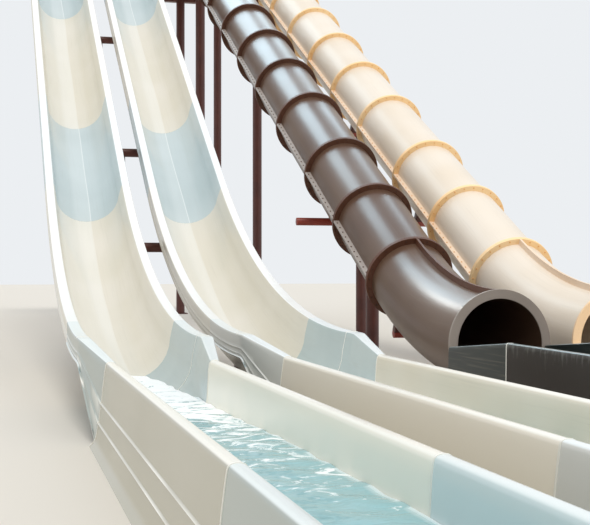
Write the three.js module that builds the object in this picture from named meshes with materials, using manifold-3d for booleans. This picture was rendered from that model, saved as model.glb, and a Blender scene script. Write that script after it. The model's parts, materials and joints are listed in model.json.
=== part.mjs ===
// Water slide tower: two open speed lanes and two enclosed tubes that start side by side on one raised deck
// and end in run-out troughs at ground level.
// Millimetres. +X is to the right of someone who looks up the slides, +Y points up the slides, +Z is up.
// The origin is on the ground, in the middle of the footprint.
// "Station" is a distance along Y from the closed front end of the speed lanes' run-outs.

import * as THREE from 'three';
import { mergeVertices } from 'three/addons/utils/BufferGeometryUtils.js';
import Module from 'manifold-3d';

const wasm = await Module();
wasm.setup();

// Whole object
const LENGTH = 34830;
const WIDTH = 6120;
const SEAT_GAP = 0.3;
const JOINT_GAP = 0.3;
const SHELL = 12;
const FOOT_WIDTH = 16;

// Places of the four slides across the object, from its middle
const LANE_A_X = -2159;
const LANE_PITCH = 1260;
const LANE_B_SHIFT = 200;
const BROWN_X = 1012;
const TUBE_PITCH = 1175;

// Speed lanes
const RUNOUT_SECTION = 4070;
const RUNOUT_COUNT = 3;
const RUNOUT_RIM = 550;
const RUNOUT_FLOOR = 120;
const END_WALL = 20;
const TRANSITION = 1040;
const TRANSITION_FOOT = 452;
const DROP_RIM = 660;
const DROP_START = RUNOUT_SECTION * RUNOUT_COUNT + TRANSITION;
const LANE_SLOPE = THREE.MathUtils.degToRad(33);
const LANE_CURVE_RADIUS = 10000;
const LANE_CREST_RADIUS = 6127;
const LANE_STRAIGHT = 10845;
const CURVE_JOINT = 1150;
const CURVE_END_SETBACK = 150;
const DROP_JOINT = 2400;
const LANE_TUB = 1760;
const TROUGH_DEPTH = 520;
const TROUGH_RADIUS = 360;
const LANE_BENDS = 5;

// Tubes
const MOUTH_STATION = 13780;
const MOUTH_Z = 512;
const TUBE_SLOPE = THREE.MathUtils.degToRad(28);
const TUBE_CURVE_RADIUS = 4835;
const TUBE_CREST_RADIUS = 2500;
const TUBE_SECTIONS = [1390, 1410, 1700, 1500, 1500, 1500, 1500, 1500, 1500, 1500, 1500];
const LOW_SECTIONS = 5;
const TUBE_OUTER = 435;
const TUBE_INNER = 421;
const RING_RADIUS = 480;
const RING_HALF = 30;
const RING_DRAFT = 2;
const SIDE_FLANGE = 474;
const SIDE_FLANGE_HALF = 15;
const MOUTH_RING_INNER = 396;
const MOUTH_RING_LENGTH = 26;
const STARTER = 1150;
const EXIT_SECTION = 3840;
const EXIT_COUNT = 2;
const EXIT_RIM_LOW = 498;
const EXIT_RIM = 600;
const TUBE_TUB = 1200;
const TUBE_TUB_RIM = 70;
const TUBE_SIDES = 14;
const CURVE_BENDS = 4;
const CREST_BENDS = 3;

// Deck, tower and rails
const DECK_TOP = 8617;
const DECK_FRONT = 31330;
const FLOOR = 40;
const DECK_BEAM = 200;
const DECK_BEAM_WIDTH = 80;
const CAP_BEAM = 160;
const POST_RADIUS = 110;
const POST_INSET = 250;
const POST_X = [-1330, 1500];
const PLATE = 340;
const PLATE_THICK = 20;
const RAIL_HEIGHT = 1100;
const RAIL_RADIUS = 24;
const RAIL_INSET = 60;
const MIDDLE_RAIL_RADIUS = 16;
const MIDDLE_RAILS = [0.66, 0.33];
const PIPE_SIDES = 10;
const RAIL_SIDES = 6;
const RAIL_FOOT = 90;
const RAIL_FOOT_THICK = 10;
const CORNER_GAP = 150;
const SIDE_BAYS = 3;
const BACK_BAYS = 2;
const ACCESS_GAP = 1000;

// Supports under the slides
const LANE_POST_RADIUS = 85;
const LANE_STUB_RADIUS = 55;
const LANE_BEAM_RADIUS = 60;
const LANE_BEAM_DROP = 120;
const SADDLE = 120;
const SADDLE_WIDTH = 220;
const SADDLE_LENGTH = 130;
const CREST_SETBACK = 200;
const TUBE_POST_RADIUS = 85;
const TUBE_BEAM_RADIUS = 50;
const TUBE_BEAM_DROP = 160;
const TUBE_BEAM_REACH = 500;
const TUBE_BEAM_STUB = 60;
const TUBE_BENTS = [
  { joint: 0, postX: 1542, leftReach: TUBE_BEAM_STUB },
  { joint: 2, postX: 1542, leftReach: TUBE_BEAM_REACH },
  { joint: 4, postX: 2310, leftReach: TUBE_BEAM_STUB },
  { joint: 7, postX: 1542, leftReach: TUBE_BEAM_STUB },
  { joint: 10, postX: 1542, leftReach: TUBE_BEAM_STUB },
];
const TUBE_PAD = 130;
const TUBE_PAD_LENGTH = 78;

function paint(color, roughness, metalness = 0) {
  return new THREE.MeshStandardMaterial({ color, roughness, metalness });
}

const CREAM = paint(0xe0ddd0, 0.3);
const PALE_BLUE = paint(0xc6d6da, 0.3);
const BLUE_GREY = paint(0x9db3b8, 0.35);
const BEIGE = paint(0xc2bcaa, 0.35);
const BROWN_SHELL = paint(0x5a4636, 0.25);
const CREAM_SHELL = paint(0xefe3cf, 0.3);
const DARK_TROUGH = paint(0x3a2a24, 0.5);
const RED_STEEL = paint(0x6a2c22, 0.5, 0.2);
const GREY_STEEL = paint(0x8fa9af, 0.5, 0.2);
const DECKING = paint(0x9a958f, 0.7);

const group = new THREE.Group();

function add(name, geometry, material) {
  const mesh = new THREE.Mesh(geometry, material);
  mesh.name = name;
  group.add(mesh);
}

function lerp(a, b, f) {
  return a + (b - a) * f;
}

// A frame is a point of a slide's path and the slope there. A profile point (u, v) lies u to the right of it
// and v above it, square to the path.
function place(frame, point) {
  return new THREE.Vector3(
    frame.x + point.x,
    frame.station - LENGTH / 2 - point.y * Math.sin(frame.angle),
    frame.z + point.y * Math.cos(frame.angle),
  );
}

function pushSkin(triangles, stations, inward) {
  const rings = stations.map(({ frame, outline }) => outline.map((p) => place(frame, p)));
  for (let i = 0; i + 1 < rings.length; i += 1) {
    const count = rings[i].length;
    for (let j = 0; j < count; j += 1) {
      const a = rings[i][j];
      const b = rings[i][(j + 1) % count];
      const c = rings[i + 1][(j + 1) % count];
      const d = rings[i + 1][j];
      triangles.push(...(inward ? [a, b, d, b, c, d] : [b, a, d, b, d, c]));
    }
  }
}

// One flat end of a sweep. Its triangles run the same way round as the outline, or the other way at the
// far end.
function pushEnd(triangles, frame, outline, hole, far) {
  const turn = THREE.ShapeUtils.isClockWise(outline);
  const points = [...outline, ...hole];
  for (const face of THREE.ShapeUtils.triangulateShape(outline, hole.length ? [hole] : [])) {
    const corners = face.map((k) => points[k]);
    if (THREE.ShapeUtils.isClockWise(corners) !== turn) corners.reverse();
    if (far) corners.reverse();
    triangles.push(...corners.map((p) => place(frame, p)));
  }
}

// Triangles with two corners in one place are left out, and all are turned over if they face inwards.
function geometryOf(triangles) {
  const cross = new THREE.Vector3();
  const kept = [];
  let volume = 0;
  for (let k = 0; k < triangles.length; k += 3) {
    const [a, b, c] = triangles.slice(k, k + 3);
    if (a.equals(b) || b.equals(c) || c.equals(a)) continue;
    volume += a.dot(cross.crossVectors(b, c));
    kept.push(a, b, c);
  }
  if (volume < 0) kept.reverse();
  return mergeVertices(new THREE.BufferGeometry().setFromPoints(kept));
}

// Sweeps outlines along frames. With inner stations it is a pipe, and without them it has plain ends.
function sweep(stations, inner = []) {
  const triangles = [];
  pushSkin(triangles, stations, false);
  pushSkin(triangles, inner, true);
  const ends = [[stations[0], inner[0]], [stations.at(-1), inner.at(-1)]];
  ends.forEach(([outer, bore], far) => {
    pushEnd(triangles, outer.frame, outer.outline, bore ? bore.outline : [], far === 1);
  });
  return geometryOf(triangles);
}

function toSolid(geometry) {
  const source = geometry.clone();
  source.deleteAttribute('normal');
  source.deleteAttribute('uv');
  const merged = mergeVertices(source);
  return new wasm.Manifold(new wasm.Mesh({
    numProp: 3,
    vertProperties: merged.attributes.position.array,
    triVerts: new Uint32Array(merged.index.array),
  }));
}

function union(pieces) {
  const joined = pieces.map(toSolid).reduce((sum, piece) => sum.add(piece)).getMesh();
  const geometry = new THREE.BufferGeometry();
  geometry.setAttribute('position', new THREE.BufferAttribute(joined.vertProperties, 3));
  geometry.setIndex(new THREE.BufferAttribute(joined.triVerts, 1));
  return geometry;
}

// Sheet profiles: a half profile runs from the foot of the outer wall over the rim to the middle of the floor.
// It is mirrored, and its hidden side follows some or all of its points, one shell thickness behind.
function mirror(half) {
  return [...half.map(([u, v]) => new THREE.Vector2(-u, v)), ...half.slice(0, -1).reverse().map(
    ([u, v]) => new THREE.Vector2(u, v),
  )];
}

function behind(line, thickness) {
  return line.map((point, i) => {
    const before = line[Math.max(i - 1, 0)];
    const after = line[Math.min(i + 1, line.length - 1)];
    const d1 = point.clone().sub(i ? before : point).normalize();
    const d2 = after.clone().sub(i < line.length - 1 ? point : after).normalize();
    const along = d1.add(d2).normalize();
    const side = new THREE.Vector2(along.y, -along.x);
    const edge = after.clone().sub(i < line.length - 1 ? point : before).normalize();
    const reach = thickness / Math.max(0.5, Math.abs(side.dot(new THREE.Vector2(edge.y, -edge.x))));
    return point.clone().addScaledVector(side, reach);
  });
}

function sheet(half, hiddenKeys = [...half.keys()]) {
  const back = behind(mirror(half.filter((_, k) => hiddenKeys.includes(k))), SHELL);
  const [footX, footZ] = half[0];
  back[0].set(FOOT_WIDTH - footX, footZ);
  back.at(-1).set(footX - FOOT_WIDTH, footZ);
  return [...mirror(half), ...back.reverse()];
}

const LANE_KEYS = [0, 1, 2, 3, 5, 7, 8, 9, 10, 11, 12];

function roundFloor(radius, centre, steps) {
  return Array.from({ length: steps }, (_, k) => {
    const turn = ((k + 1) / steps) * (Math.PI / 2);
    return [radius * Math.cos(turn), centre - radius * Math.sin(turn)];
  });
}

// Trough of a speed lane from the edge of its flat rim to the middle of its round floor, v = 0 at the rim.
const TROUGH_HALF = [
  [503, -12], [494, -1], [450, 0], [406, -1], [397, -30], [372, TROUGH_RADIUS - TROUGH_DEPTH],
  ...roundFloor(TROUGH_RADIUS, TROUGH_RADIUS - TROUGH_DEPTH, 4),
];
const LIP_HALF = [[501, -185], [501, -130], [502, -70]];
const DROP_HALF = [...LIP_HALF, ...TROUGH_HALF];

// Run-out, v = 0 at the ground: the outer wall leans out a little above a flared foot.
const RUNOUT_HALF = [
  [490, 0], [449, 42], [412, 270],
  [387, 505], [373, 541], [349, RUNOUT_RIM], [325, 539], [307, 492], [300, 320],
  [285, 190], [235, 138], [130, 124], [0, RUNOUT_FLOOR],
];

// Start tub of a speed lane: the same trough with plain side walls that stand on the deck.
function tubHalf(toDeck) {
  return [[530, SEAT_GAP - toDeck], [518, -370], [508, -190], ...TROUGH_HALF];
}

function lanePath(lane, s) {
  const arc = LANE_CURVE_RADIUS * LANE_SLOPE;
  const crest = LANE_CREST_RADIUS * LANE_SLOPE;
  const frame = { x: lane.x, station: DROP_START + lane.shift + Math.min(s, 0), z: DROP_RIM, angle: 0 };
  if (s <= 0) return frame;
  frame.angle = Math.min(s / LANE_CURVE_RADIUS, LANE_SLOPE);
  frame.station += LANE_CURVE_RADIUS * Math.sin(frame.angle);
  frame.z += LANE_CURVE_RADIUS * (1 - Math.cos(frame.angle));
  const straight = Math.min(Math.max(s - arc, 0), LANE_STRAIGHT);
  frame.station += straight * Math.cos(LANE_SLOPE);
  frame.z += straight * Math.sin(LANE_SLOPE);
  const over = Math.max(s - arc - LANE_STRAIGHT, 0);
  if (over > 0) {
    frame.angle = LANE_SLOPE - Math.min(over, crest) / LANE_CREST_RADIUS;
    frame.station += LANE_CREST_RADIUS * (Math.sin(LANE_SLOPE) - Math.sin(frame.angle));
    frame.z += LANE_CREST_RADIUS * (Math.cos(frame.angle) - Math.cos(LANE_SLOPE));
    frame.station += Math.max(over - crest, 0);
  }
  return frame;
}

const LANE_ARC = LANE_CURVE_RADIUS * LANE_SLOPE;
const LANE_CREST_START = LANE_ARC + LANE_STRAIGHT;
const LANE_CREST_END = LANE_CREST_START + LANE_CREST_RADIUS * LANE_SLOPE;
const LANE_A = { x: LANE_A_X, shift: 0 };
const LANE_B = { x: LANE_A_X + LANE_PITCH, shift: LANE_B_SHIFT };
const LANE_TOP = lanePath(LANE_A, LANE_CREST_END);

function steps(from, to, count) {
  return Array.from({ length: count + 1 }, (_, k) => lerp(from, to, k / count));
}

function laneDrop(lane, from, to, count) {
  const outline = sheet(DROP_HALF, LANE_KEYS);
  return sweep(steps(from + JOINT_GAP / 2, to - JOINT_GAP / 2, count).map((s) => ({
    frame: lanePath(lane, s),
    outline,
  })));
}

// The rim turns a rounded corner and slants down to the narrower run-out, and the lip comes down to the ground.
// The run-out's flared foot starts only beyond it.
function laneTransition(lane) {
  const drop = sheet(DROP_HALF, LANE_KEYS);
  const lifted = sheet(DROP_HALF.map(([u, v]) => [u, v + DROP_RIM]), LANE_KEYS);
  const runout = sheet([[TRANSITION_FOOT, 0], ...RUNOUT_HALF.slice(1)], LANE_KEYS);
  const blends = [[JOINT_GAP / 2 - TRANSITION, 1], [-TRANSITION / 2, 0.4], [-300, 0.14], [-200, 0.03], [0, 0]];
  const low = blends.map(([s, f]) => ({
    frame: { ...lanePath(lane, s), z: 0 },
    outline: lifted.map((p, k) => p.clone().lerp(runout[k], f)),
  }));
  const high = steps(0, CURVE_JOINT - JOINT_GAP / 2, 2).slice(1);
  return sweep([...low, ...high.map((s) => ({ frame: lanePath(lane, s), outline: drop }))]);
}

function laneRunout(lane, index) {
  const outline = sheet(RUNOUT_HALF, LANE_KEYS);
  const from = lane.shift + index * RUNOUT_SECTION;
  const to = from + RUNOUT_SECTION - JOINT_GAP / 2;
  const flat = (station, shape) => ({ frame: { x: lane.x, station, z: 0, angle: 0 }, outline: shape });
  if (index > 0) return sweep([flat(from + JOINT_GAP / 2, outline), flat(to, outline)]);
  const wall = mirror([...RUNOUT_HALF.slice(0, 6), [0, RUNOUT_RIM + 2]]);
  const shell = sweep([flat(from + END_WALL / 2, outline), flat(to, outline)]);
  return union([shell, sweep([flat(from, wall), flat(from + END_WALL, wall)])]);
}

function laneTub(lane) {
  const outline = sheet(tubHalf(LANE_TOP.z - DECK_TOP), LANE_KEYS);
  const ends = [LANE_CREST_END + JOINT_GAP / 2, LANE_CREST_END + LANE_TUB];
  return sweep(ends.map((s) => ({ frame: lanePath(lane, s), outline })));
}

// Stations of the joints between a lane's drop sections, along its path.
const LANE_JOINTS = [
  CURVE_JOINT, LANE_ARC - CURVE_END_SETBACK, LANE_ARC + DROP_JOINT,
  (LANE_ARC + DROP_JOINT + LANE_CREST_START) / 2, LANE_CREST_START, LANE_CREST_END,
];
const CURVE_SUPPORT = lerp(LANE_JOINTS[0], LANE_JOINTS[1], 1 / LANE_BENDS);
const LANE_PIECES = [
  ['curve', LANE_BENDS], ['drop_low', 1], ['drop_middle', 1], ['drop_high', 1], ['crest', LANE_BENDS],
];

function addLane(name, lane, colors) {
  for (let k = 0; k < RUNOUT_COUNT; k += 1) {
    const number = RUNOUT_COUNT - k;
    add(`${name}_runout_${number}`, laneRunout(lane, k), number % 2 ? BEIGE : BLUE_GREY);
  }
  add(`${name}_transition`, laneTransition(lane), BLUE_GREY);
  LANE_PIECES.forEach(([piece, bends], k) => {
    add(`${name}_${piece}`, laneDrop(lane, LANE_JOINTS[k], LANE_JOINTS[k + 1], bends), colors[k]);
  });
  add(`${name}_start_tub`, laneTub(lane), colors.at(-1));
}

// Whole tube outline: a round shell with a thin flange along each side, or a full ring.
function tubeOutline(radius, flangeRadius) {
  const root = Math.asin(SIDE_FLANGE_HALF / radius);
  const tip = Math.asin((SIDE_FLANGE_HALF * 0.8) / flangeRadius);
  const tab = [[-root, radius], [-tip, flangeRadius], [tip, flangeRadius], [root, radius]];
  const points = [0, Math.PI].flatMap((start) => [
    ...tab.map(([a, r]) => [start + a, r]),
    ...HALF_TURNS.map((a) => [start + a, radius]),
  ]);
  return points.map(([a, r]) => new THREE.Vector2(r * Math.cos(a), r * Math.sin(a)));
}

// One of a tube's two half shells, with a flange along both edges. Its seam is at the sides, where side 1 is
// the upper half, or turned a quarter to the top and bottom, where side 1 is the left half.
function halfOutline(radius, flangeRadius, inner, side, turn) {
  const at = (r, a) => [r * Math.cos(a), r * Math.sin(a)];
  const root = Math.asin(SIDE_FLANGE_HALF / radius);
  const tip = Math.asin((SIDE_FLANGE_HALF * 0.8) / flangeRadius);
  const seam = JOINT_GAP / 2;
  const edge = inner * Math.cos(HALF_TURNS[0]);
  const points = [
    [flangeRadius, seam], at(flangeRadius, tip), at(radius, root),
    ...HALF_TURNS.map((a) => at(radius, a)),
    at(radius, Math.PI - root), at(flangeRadius, Math.PI - tip), [-flangeRadius, seam],
    [-edge, seam], ...HALF_TURNS.map((a) => at(inner, a)).reverse(), [edge, seam],
  ];
  return points.map(([u, v]) => new THREE.Vector2(u, side * v).rotateAround(new THREE.Vector2(), turn));
}

const HALF_SIDES = TUBE_SIDES / 2;
const HALF_TURNS = steps(0.5, HALF_SIDES - 0.5, HALF_SIDES - 1).map((k) => (k / HALF_SIDES) * Math.PI);
const SIDE_SEAM = 0;
const TOP_SEAM = Math.PI / 2;
const TUBE_ARC = TUBE_CURVE_RADIUS * TUBE_SLOPE;
const TUBE_JOINTS = TUBE_SECTIONS.reduce((list, length) => [...list, list.at(-1) + length], [TUBE_ARC]);
const TUBE_STRAIGHT = TUBE_JOINTS.at(-1) - TUBE_ARC;
const TUBE_CREST_START = TUBE_ARC + TUBE_STRAIGHT;
const TUBE_CREST_END = TUBE_CREST_START + TUBE_CREST_RADIUS * TUBE_SLOPE;

function tubePath(x, s) {
  const frame = { x, station: MOUTH_STATION, z: MOUTH_Z, angle: Math.min(s / TUBE_CURVE_RADIUS, TUBE_SLOPE) };
  frame.station += TUBE_CURVE_RADIUS * Math.sin(frame.angle);
  frame.z += TUBE_CURVE_RADIUS * (1 - Math.cos(frame.angle));
  const straight = Math.min(Math.max(s - TUBE_ARC, 0), TUBE_STRAIGHT);
  frame.station += straight * Math.cos(TUBE_SLOPE);
  frame.z += straight * Math.sin(TUBE_SLOPE);
  const over = Math.max(s - TUBE_CREST_START, 0);
  if (over > 0) {
    frame.angle = TUBE_SLOPE - Math.min(over, TUBE_CREST_END - TUBE_CREST_START) / TUBE_CREST_RADIUS;
    frame.station += TUBE_CREST_RADIUS * (Math.sin(TUBE_SLOPE) - Math.sin(frame.angle));
    frame.z += TUBE_CREST_RADIUS * (Math.cos(frame.angle) - Math.cos(TUBE_SLOPE));
    frame.station += Math.max(s - TUBE_CREST_END, 0);
  }
  return frame;
}

const TUBE_TOP = tubePath(0, TUBE_CREST_END);

// The bend over the top, whole, with a ring at both ends.
function tubeCrest(x) {
  const body = tubeOutline(TUBE_OUTER, SIDE_FLANGE);
  const ring = tubeOutline(RING_RADIUS, RING_RADIUS);
  const bore = [...HALF_TURNS, ...HALF_TURNS.map((a) => a + Math.PI)].map(
    (a) => new THREE.Vector2(TUBE_INNER * Math.cos(a), TUBE_INNER * Math.sin(a)),
  );
  const at = (s, outline) => ({ frame: tubePath(x, s), outline });
  const start = TUBE_CREST_START + JOINT_GAP / 2;
  const end = TUBE_CREST_END - JOINT_GAP / 2;
  const low = TUBE_CREST_START + RING_HALF;
  const high = TUBE_CREST_END - RING_HALF;
  const bends = steps(TUBE_CREST_START, TUBE_CREST_END, CREST_BENDS).slice(1, -1);
  return sweep(
    [
      at(start, ring), at(low, ring), at(low, body), ...bends.map((s) => at(s, body)),
      at(high, body), at(high, ring), at(end, ring),
    ],
    steps(start, end, CREST_BENDS).map((s) => at(s, bore)),
  );
}

// The two faces of a half ring around a joint. Each leans by a slight draft.
function ringFaces(x, s, body, ring) {
  const at = (distance, outline) => ({ frame: tubePath(x, s + distance), outline });
  return {
    up: [at(-RING_HALF, body), at(RING_DRAFT - RING_HALF, ring)],
    down: [at(RING_HALF - RING_DRAFT, ring), at(RING_HALF, body)],
  };
}

// Half shell of a straight run, with a half ring at both ends and at each joint.
function straightHalf(x, joints, side) {
  const body = halfOutline(TUBE_OUTER, SIDE_FLANGE, TUBE_INNER, side, SIDE_SEAM);
  const ring = halfOutline(RING_RADIUS, RING_RADIUS, TUBE_INNER, side, SIDE_SEAM);
  const faces = joints.map((s) => ringFaces(x, s, body, ring));
  return sweep([
    { frame: tubePath(x, joints[0] + JOINT_GAP / 2), outline: ring },
    ...faces[0].down,
    ...faces.slice(1, -1).flatMap(({ up, down }) => [...up, ...down]),
    ...faces.at(-1).up,
    { frame: tubePath(x, joints.at(-1) - JOINT_GAP / 2), outline: ring },
  ]);
}

// Half shell of the bottom curve, with half of the mouth's narrower ring at its lower end.
function curveHalf(x, side) {
  const body = halfOutline(TUBE_OUTER, SIDE_FLANGE, TUBE_INNER, side, TOP_SEAM);
  const ring = halfOutline(RING_RADIUS, RING_RADIUS, TUBE_INNER, side, TOP_SEAM);
  const mouthRing = halfOutline(RING_RADIUS, RING_RADIUS, MOUTH_RING_INNER, side, TOP_SEAM);
  const at = (s, outline) => ({ frame: tubePath(x, s), outline });
  return sweep([
    at(JOINT_GAP / 2, mouthRing), at(MOUTH_RING_LENGTH, mouthRing), at(MOUTH_RING_LENGTH + RING_DRAFT, body),
    ...steps(0, TUBE_ARC, CURVE_BENDS).slice(1, -1).map((s) => at(s, body)),
    ...ringFaces(x, TUBE_ARC, body, ring).up, at(TUBE_ARC - JOINT_GAP / 2, ring),
  ]);
}

// Exit trough under a tube's mouth: round floor, flat rims and side walls down to the ground.
function exitHalf(rim, centre, ground) {
  return [
    [504, ground], [490, ground + 36], [484, rim - 24], [476, rim - 2], [466, rim], [436, rim], [426, rim - 6],
    [TUBE_INNER, rim - 30],
    ...[20, 37, 54, 72, 90].map((degrees) => {
      const a = THREE.MathUtils.degToRad(degrees);
      return [TUBE_INNER * Math.cos(a), centre - TUBE_INNER * Math.sin(a)];
    }),
  ];
}

function exitTrough(x, from, to, rimFrom, rimTo, closed) {
  const at = (station, rim) => ({
    frame: { x, station, z: 0, angle: 0 },
    outline: sheet(exitHalf(rim, MOUTH_Z, 0)),
  });
  const start = closed ? from + END_WALL / 2 : from + JOINT_GAP / 2;
  const shell = sweep([at(start, rimFrom), at(to - JOINT_GAP / 2, rimTo)]);
  if (!closed) return shell;
  const wall = mirror([...exitHalf(rimFrom, MOUTH_Z, 0).slice(0, 5), [0, rimFrom + 2]]);
  const face = (station) => ({ frame: { x, station, z: 0, angle: 0 }, outline: wall });
  return union([shell, sweep([face(from), face(from + END_WALL)])]);
}

function tubeTub(x) {
  const outline = sheet(exitHalf(TUBE_TUB_RIM, 0, DECK_TOP - TUBE_TOP.z + SEAT_GAP));
  const ends = [TUBE_CREST_END + JOINT_GAP / 2, TUBE_CREST_END + TUBE_TUB];
  return sweep(ends.map((s) => ({ frame: tubePath(x, s), outline })));
}

function addTube(name, x, shell, trough) {
  add(`${name}_tube_curve_left`, curveHalf(x, 1), shell);
  add(`${name}_tube_curve_right`, curveHalf(x, -1), shell);
  const runs = [['low', TUBE_JOINTS.slice(0, LOW_SECTIONS + 1)], ['high', TUBE_JOINTS.slice(LOW_SECTIONS)]];
  for (const [run, joints] of runs) {
    add(`${name}_tube_${run}_upper`, straightHalf(x, joints, 1), shell);
    add(`${name}_tube_${run}_lower`, straightHalf(x, joints, -1), shell);
  }
  add(`${name}_tube_crest`, tubeCrest(x), shell);
  add(`${name}_start_tub`, tubeTub(x), shell);
  const starter = MOUTH_STATION - STARTER;
  add(`${name}_exit_starter`, exitTrough(x, starter, MOUTH_STATION, EXIT_RIM, EXIT_RIM_LOW, false), trough);
  for (let k = 1; k <= EXIT_COUNT; k += 1) {
    const front = starter - k * EXIT_SECTION;
    const closed = k === EXIT_COUNT;
    add(`${name}_exit_${k}`, exitTrough(x, front, front + EXIT_SECTION, EXIT_RIM, EXIT_RIM, closed), trough);
  }
}

// Steelwork
function point(x, station, z) {
  return new THREE.Vector3(x, station - LENGTH / 2, z);
}

function box(sx, sy, sz, centre, angle = 0) {
  return new THREE.BoxGeometry(sx, sy, sz).rotateX(angle).translate(centre.x, centre.y, centre.z);
}

function pipe(radius, from, to, sides = PIPE_SIDES) {
  const middle = from.clone().lerp(to, 0.5);
  const turn = new THREE.Quaternion().setFromUnitVectors(
    new THREE.Vector3(0, 1, 0),
    to.clone().sub(from).normalize(),
  );
  return new THREE.CylinderGeometry(radius, radius, from.distanceTo(to), sides)
    .applyQuaternion(turn)
    .translate(middle.x, middle.y, middle.z);
}

// A column with its base plate, up to a point.
function column(radius, top) {
  const foot = top.clone().setZ(0);
  return [pipe(radius, foot, top), box(PLATE, PLATE, PLATE_THICK, foot.clone().setZ(PLATE_THICK / 2))];
}

// Where a support stands under a slide: a point square below the path, a given distance under its shell.
function below(frame, under, distance) {
  return place(frame, new THREE.Vector2(0, -(under + SEAT_GAP + distance)));
}

// One column between the lanes carries a beam with a stub and a saddle block up to each lane.
// Lane B starts a little later, so it is lower there.
function laneBent(s) {
  const upper = lanePath(LANE_A, s);
  const frames = [upper, lanePath(LANE_B, s - LANE_B_SHIFT / Math.cos(upper.angle))];
  const centres = frames.map((frame) => below(frame, TROUGH_DEPTH + SHELL, SADDLE / 2));
  const saddles = frames.map(({ angle }, k) => box(SADDLE_WIDTH, SADDLE_LENGTH, SADDLE, centres[k], angle));
  const beamZ = Math.min(...centres.map((centre) => centre.z)) - LANE_BEAM_DROP;
  const ends = centres.map((centre) => centre.clone().setZ(beamZ));
  const stubs = centres.map((centre, k) => pipe(LANE_STUB_RADIUS, ends[k], centre));
  const middle = ends[0].clone().lerp(ends[1], 0.5);
  return union([...saddles, ...stubs, pipe(LANE_BEAM_RADIUS, ...ends), ...column(LANE_POST_RADIUS, middle)]);
}

// One column carries a beam with a stand-off up to the ring of each tube.
function tubeBent(s, postX, leftReach) {
  const frames = [BROWN_X, BROWN_X + TUBE_PITCH].map((x) => tubePath(x, s));
  const standOff = TUBE_BEAM_DROP + TUBE_BEAM_RADIUS / 2;
  const pads = frames.map((frame) => {
    const centre = below(frame, RING_RADIUS, standOff / 2);
    return box(TUBE_PAD, TUBE_PAD_LENGTH, standOff, centre, frame.angle);
  });
  const ends = frames.map((frame) => below(frame, RING_RADIUS, TUBE_BEAM_DROP + TUBE_BEAM_RADIUS));
  const top = ends[0].clone().setX(postX);
  ends[0].x -= leftReach;
  ends[1].x += TUBE_BEAM_REACH;
  return union([pipe(TUBE_BEAM_RADIUS, ...ends), ...pads, ...column(TUBE_POST_RADIUS, top)]);
}

// Tower under the deck: a front and a back frame of two columns with a cap beam.
function towerFrame(station) {
  const top = DECK_TOP - FLOOR - DECK_BEAM - SEAT_GAP;
  const cap = box(WIDTH - CAP_BEAM / 2, CAP_BEAM, CAP_BEAM, point(0, station, top - CAP_BEAM / 2));
  const columns = POST_X.flatMap((x) => column(POST_RADIUS, point(x, station, top - CAP_BEAM / 2)));
  return union([cap, ...columns]);
}

const DECK_DEPTH = LENGTH - DECK_FRONT;
const DECK_MIDDLE = DECK_FRONT + DECK_DEPTH / 2;

function deckFrame() {
  const z = DECK_TOP - FLOOR - DECK_BEAM / 2;
  const edge = DECK_BEAM_WIDTH / 2;
  const lengthwise = steps(edge - WIDTH / 2, WIDTH / 2 - edge, 4).map(
    (x) => box(DECK_BEAM_WIDTH, DECK_DEPTH, DECK_BEAM, point(x, DECK_MIDDLE, z)),
  );
  const across = steps(DECK_FRONT + edge, LENGTH - edge, 2).map(
    (station) => box(WIDTH, DECK_BEAM_WIDTH, DECK_BEAM, point(0, station, z)),
  );
  return union([...lengthwise, ...across]);
}

function deckFloor() {
  return box(WIDTH, DECK_DEPTH, FLOOR - SEAT_GAP, point(0, DECK_MIDDLE, DECK_TOP - (FLOOR - SEAT_GAP) / 2));
}

// A straight guard rail between two points of the deck, with a foot plate under each post.
function guardRail(from, to, bays) {
  const posts = steps(0, 1, bays).flatMap((f) => {
    const foot = from.clone().lerp(to, f);
    foot.z += SEAT_GAP;
    const top = foot.clone().setZ(DECK_TOP + RAIL_HEIGHT);
    const plate = foot.clone().setZ(foot.z + RAIL_FOOT_THICK / 2);
    return [pipe(RAIL_RADIUS, foot, top, RAIL_SIDES), box(RAIL_FOOT, RAIL_FOOT, RAIL_FOOT_THICK, plate)];
  });
  const rails = [1, ...MIDDLE_RAILS].map((f) => {
    const lift = new THREE.Vector3(0, 0, RAIL_HEIGHT * f);
    const radius = f === 1 ? RAIL_RADIUS : MIDDLE_RAIL_RADIUS;
    return pipe(radius, from.clone().add(lift), to.clone().add(lift), RAIL_SIDES);
  });
  return union([...posts, ...rails]);
}

addLane('lane_a', LANE_A, [CREAM, PALE_BLUE, CREAM, PALE_BLUE, CREAM, PALE_BLUE]);
addLane('lane_b', LANE_B, [CREAM, PALE_BLUE, CREAM, PALE_BLUE, CREAM, PALE_BLUE]);
addTube('brown', BROWN_X, BROWN_SHELL, DARK_TROUGH);
addTube('cream', BROWN_X + TUBE_PITCH, CREAM_SHELL, CREAM_SHELL);

[CURVE_SUPPORT, ...LANE_JOINTS.slice(1, 4), LANE_CREST_START - CREST_SETBACK].forEach((s, k) => {
  add(`lane_bent_${k + 1}`, laneBent(s), RED_STEEL);
});
TUBE_BENTS.forEach(({ joint, postX, leftReach }, k) => {
  add(`tube_bent_${k + 1}`, tubeBent(TUBE_JOINTS[joint], postX, leftReach), RED_STEEL);
});

add('tower_frame_front', towerFrame(DECK_FRONT + POST_INSET), RED_STEEL);
add('tower_frame_back', towerFrame(LENGTH - POST_INSET), RED_STEEL);
add('deck_frame', deckFrame(), RED_STEEL);
add('deck_floor', deckFloor(), DECKING);

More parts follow.
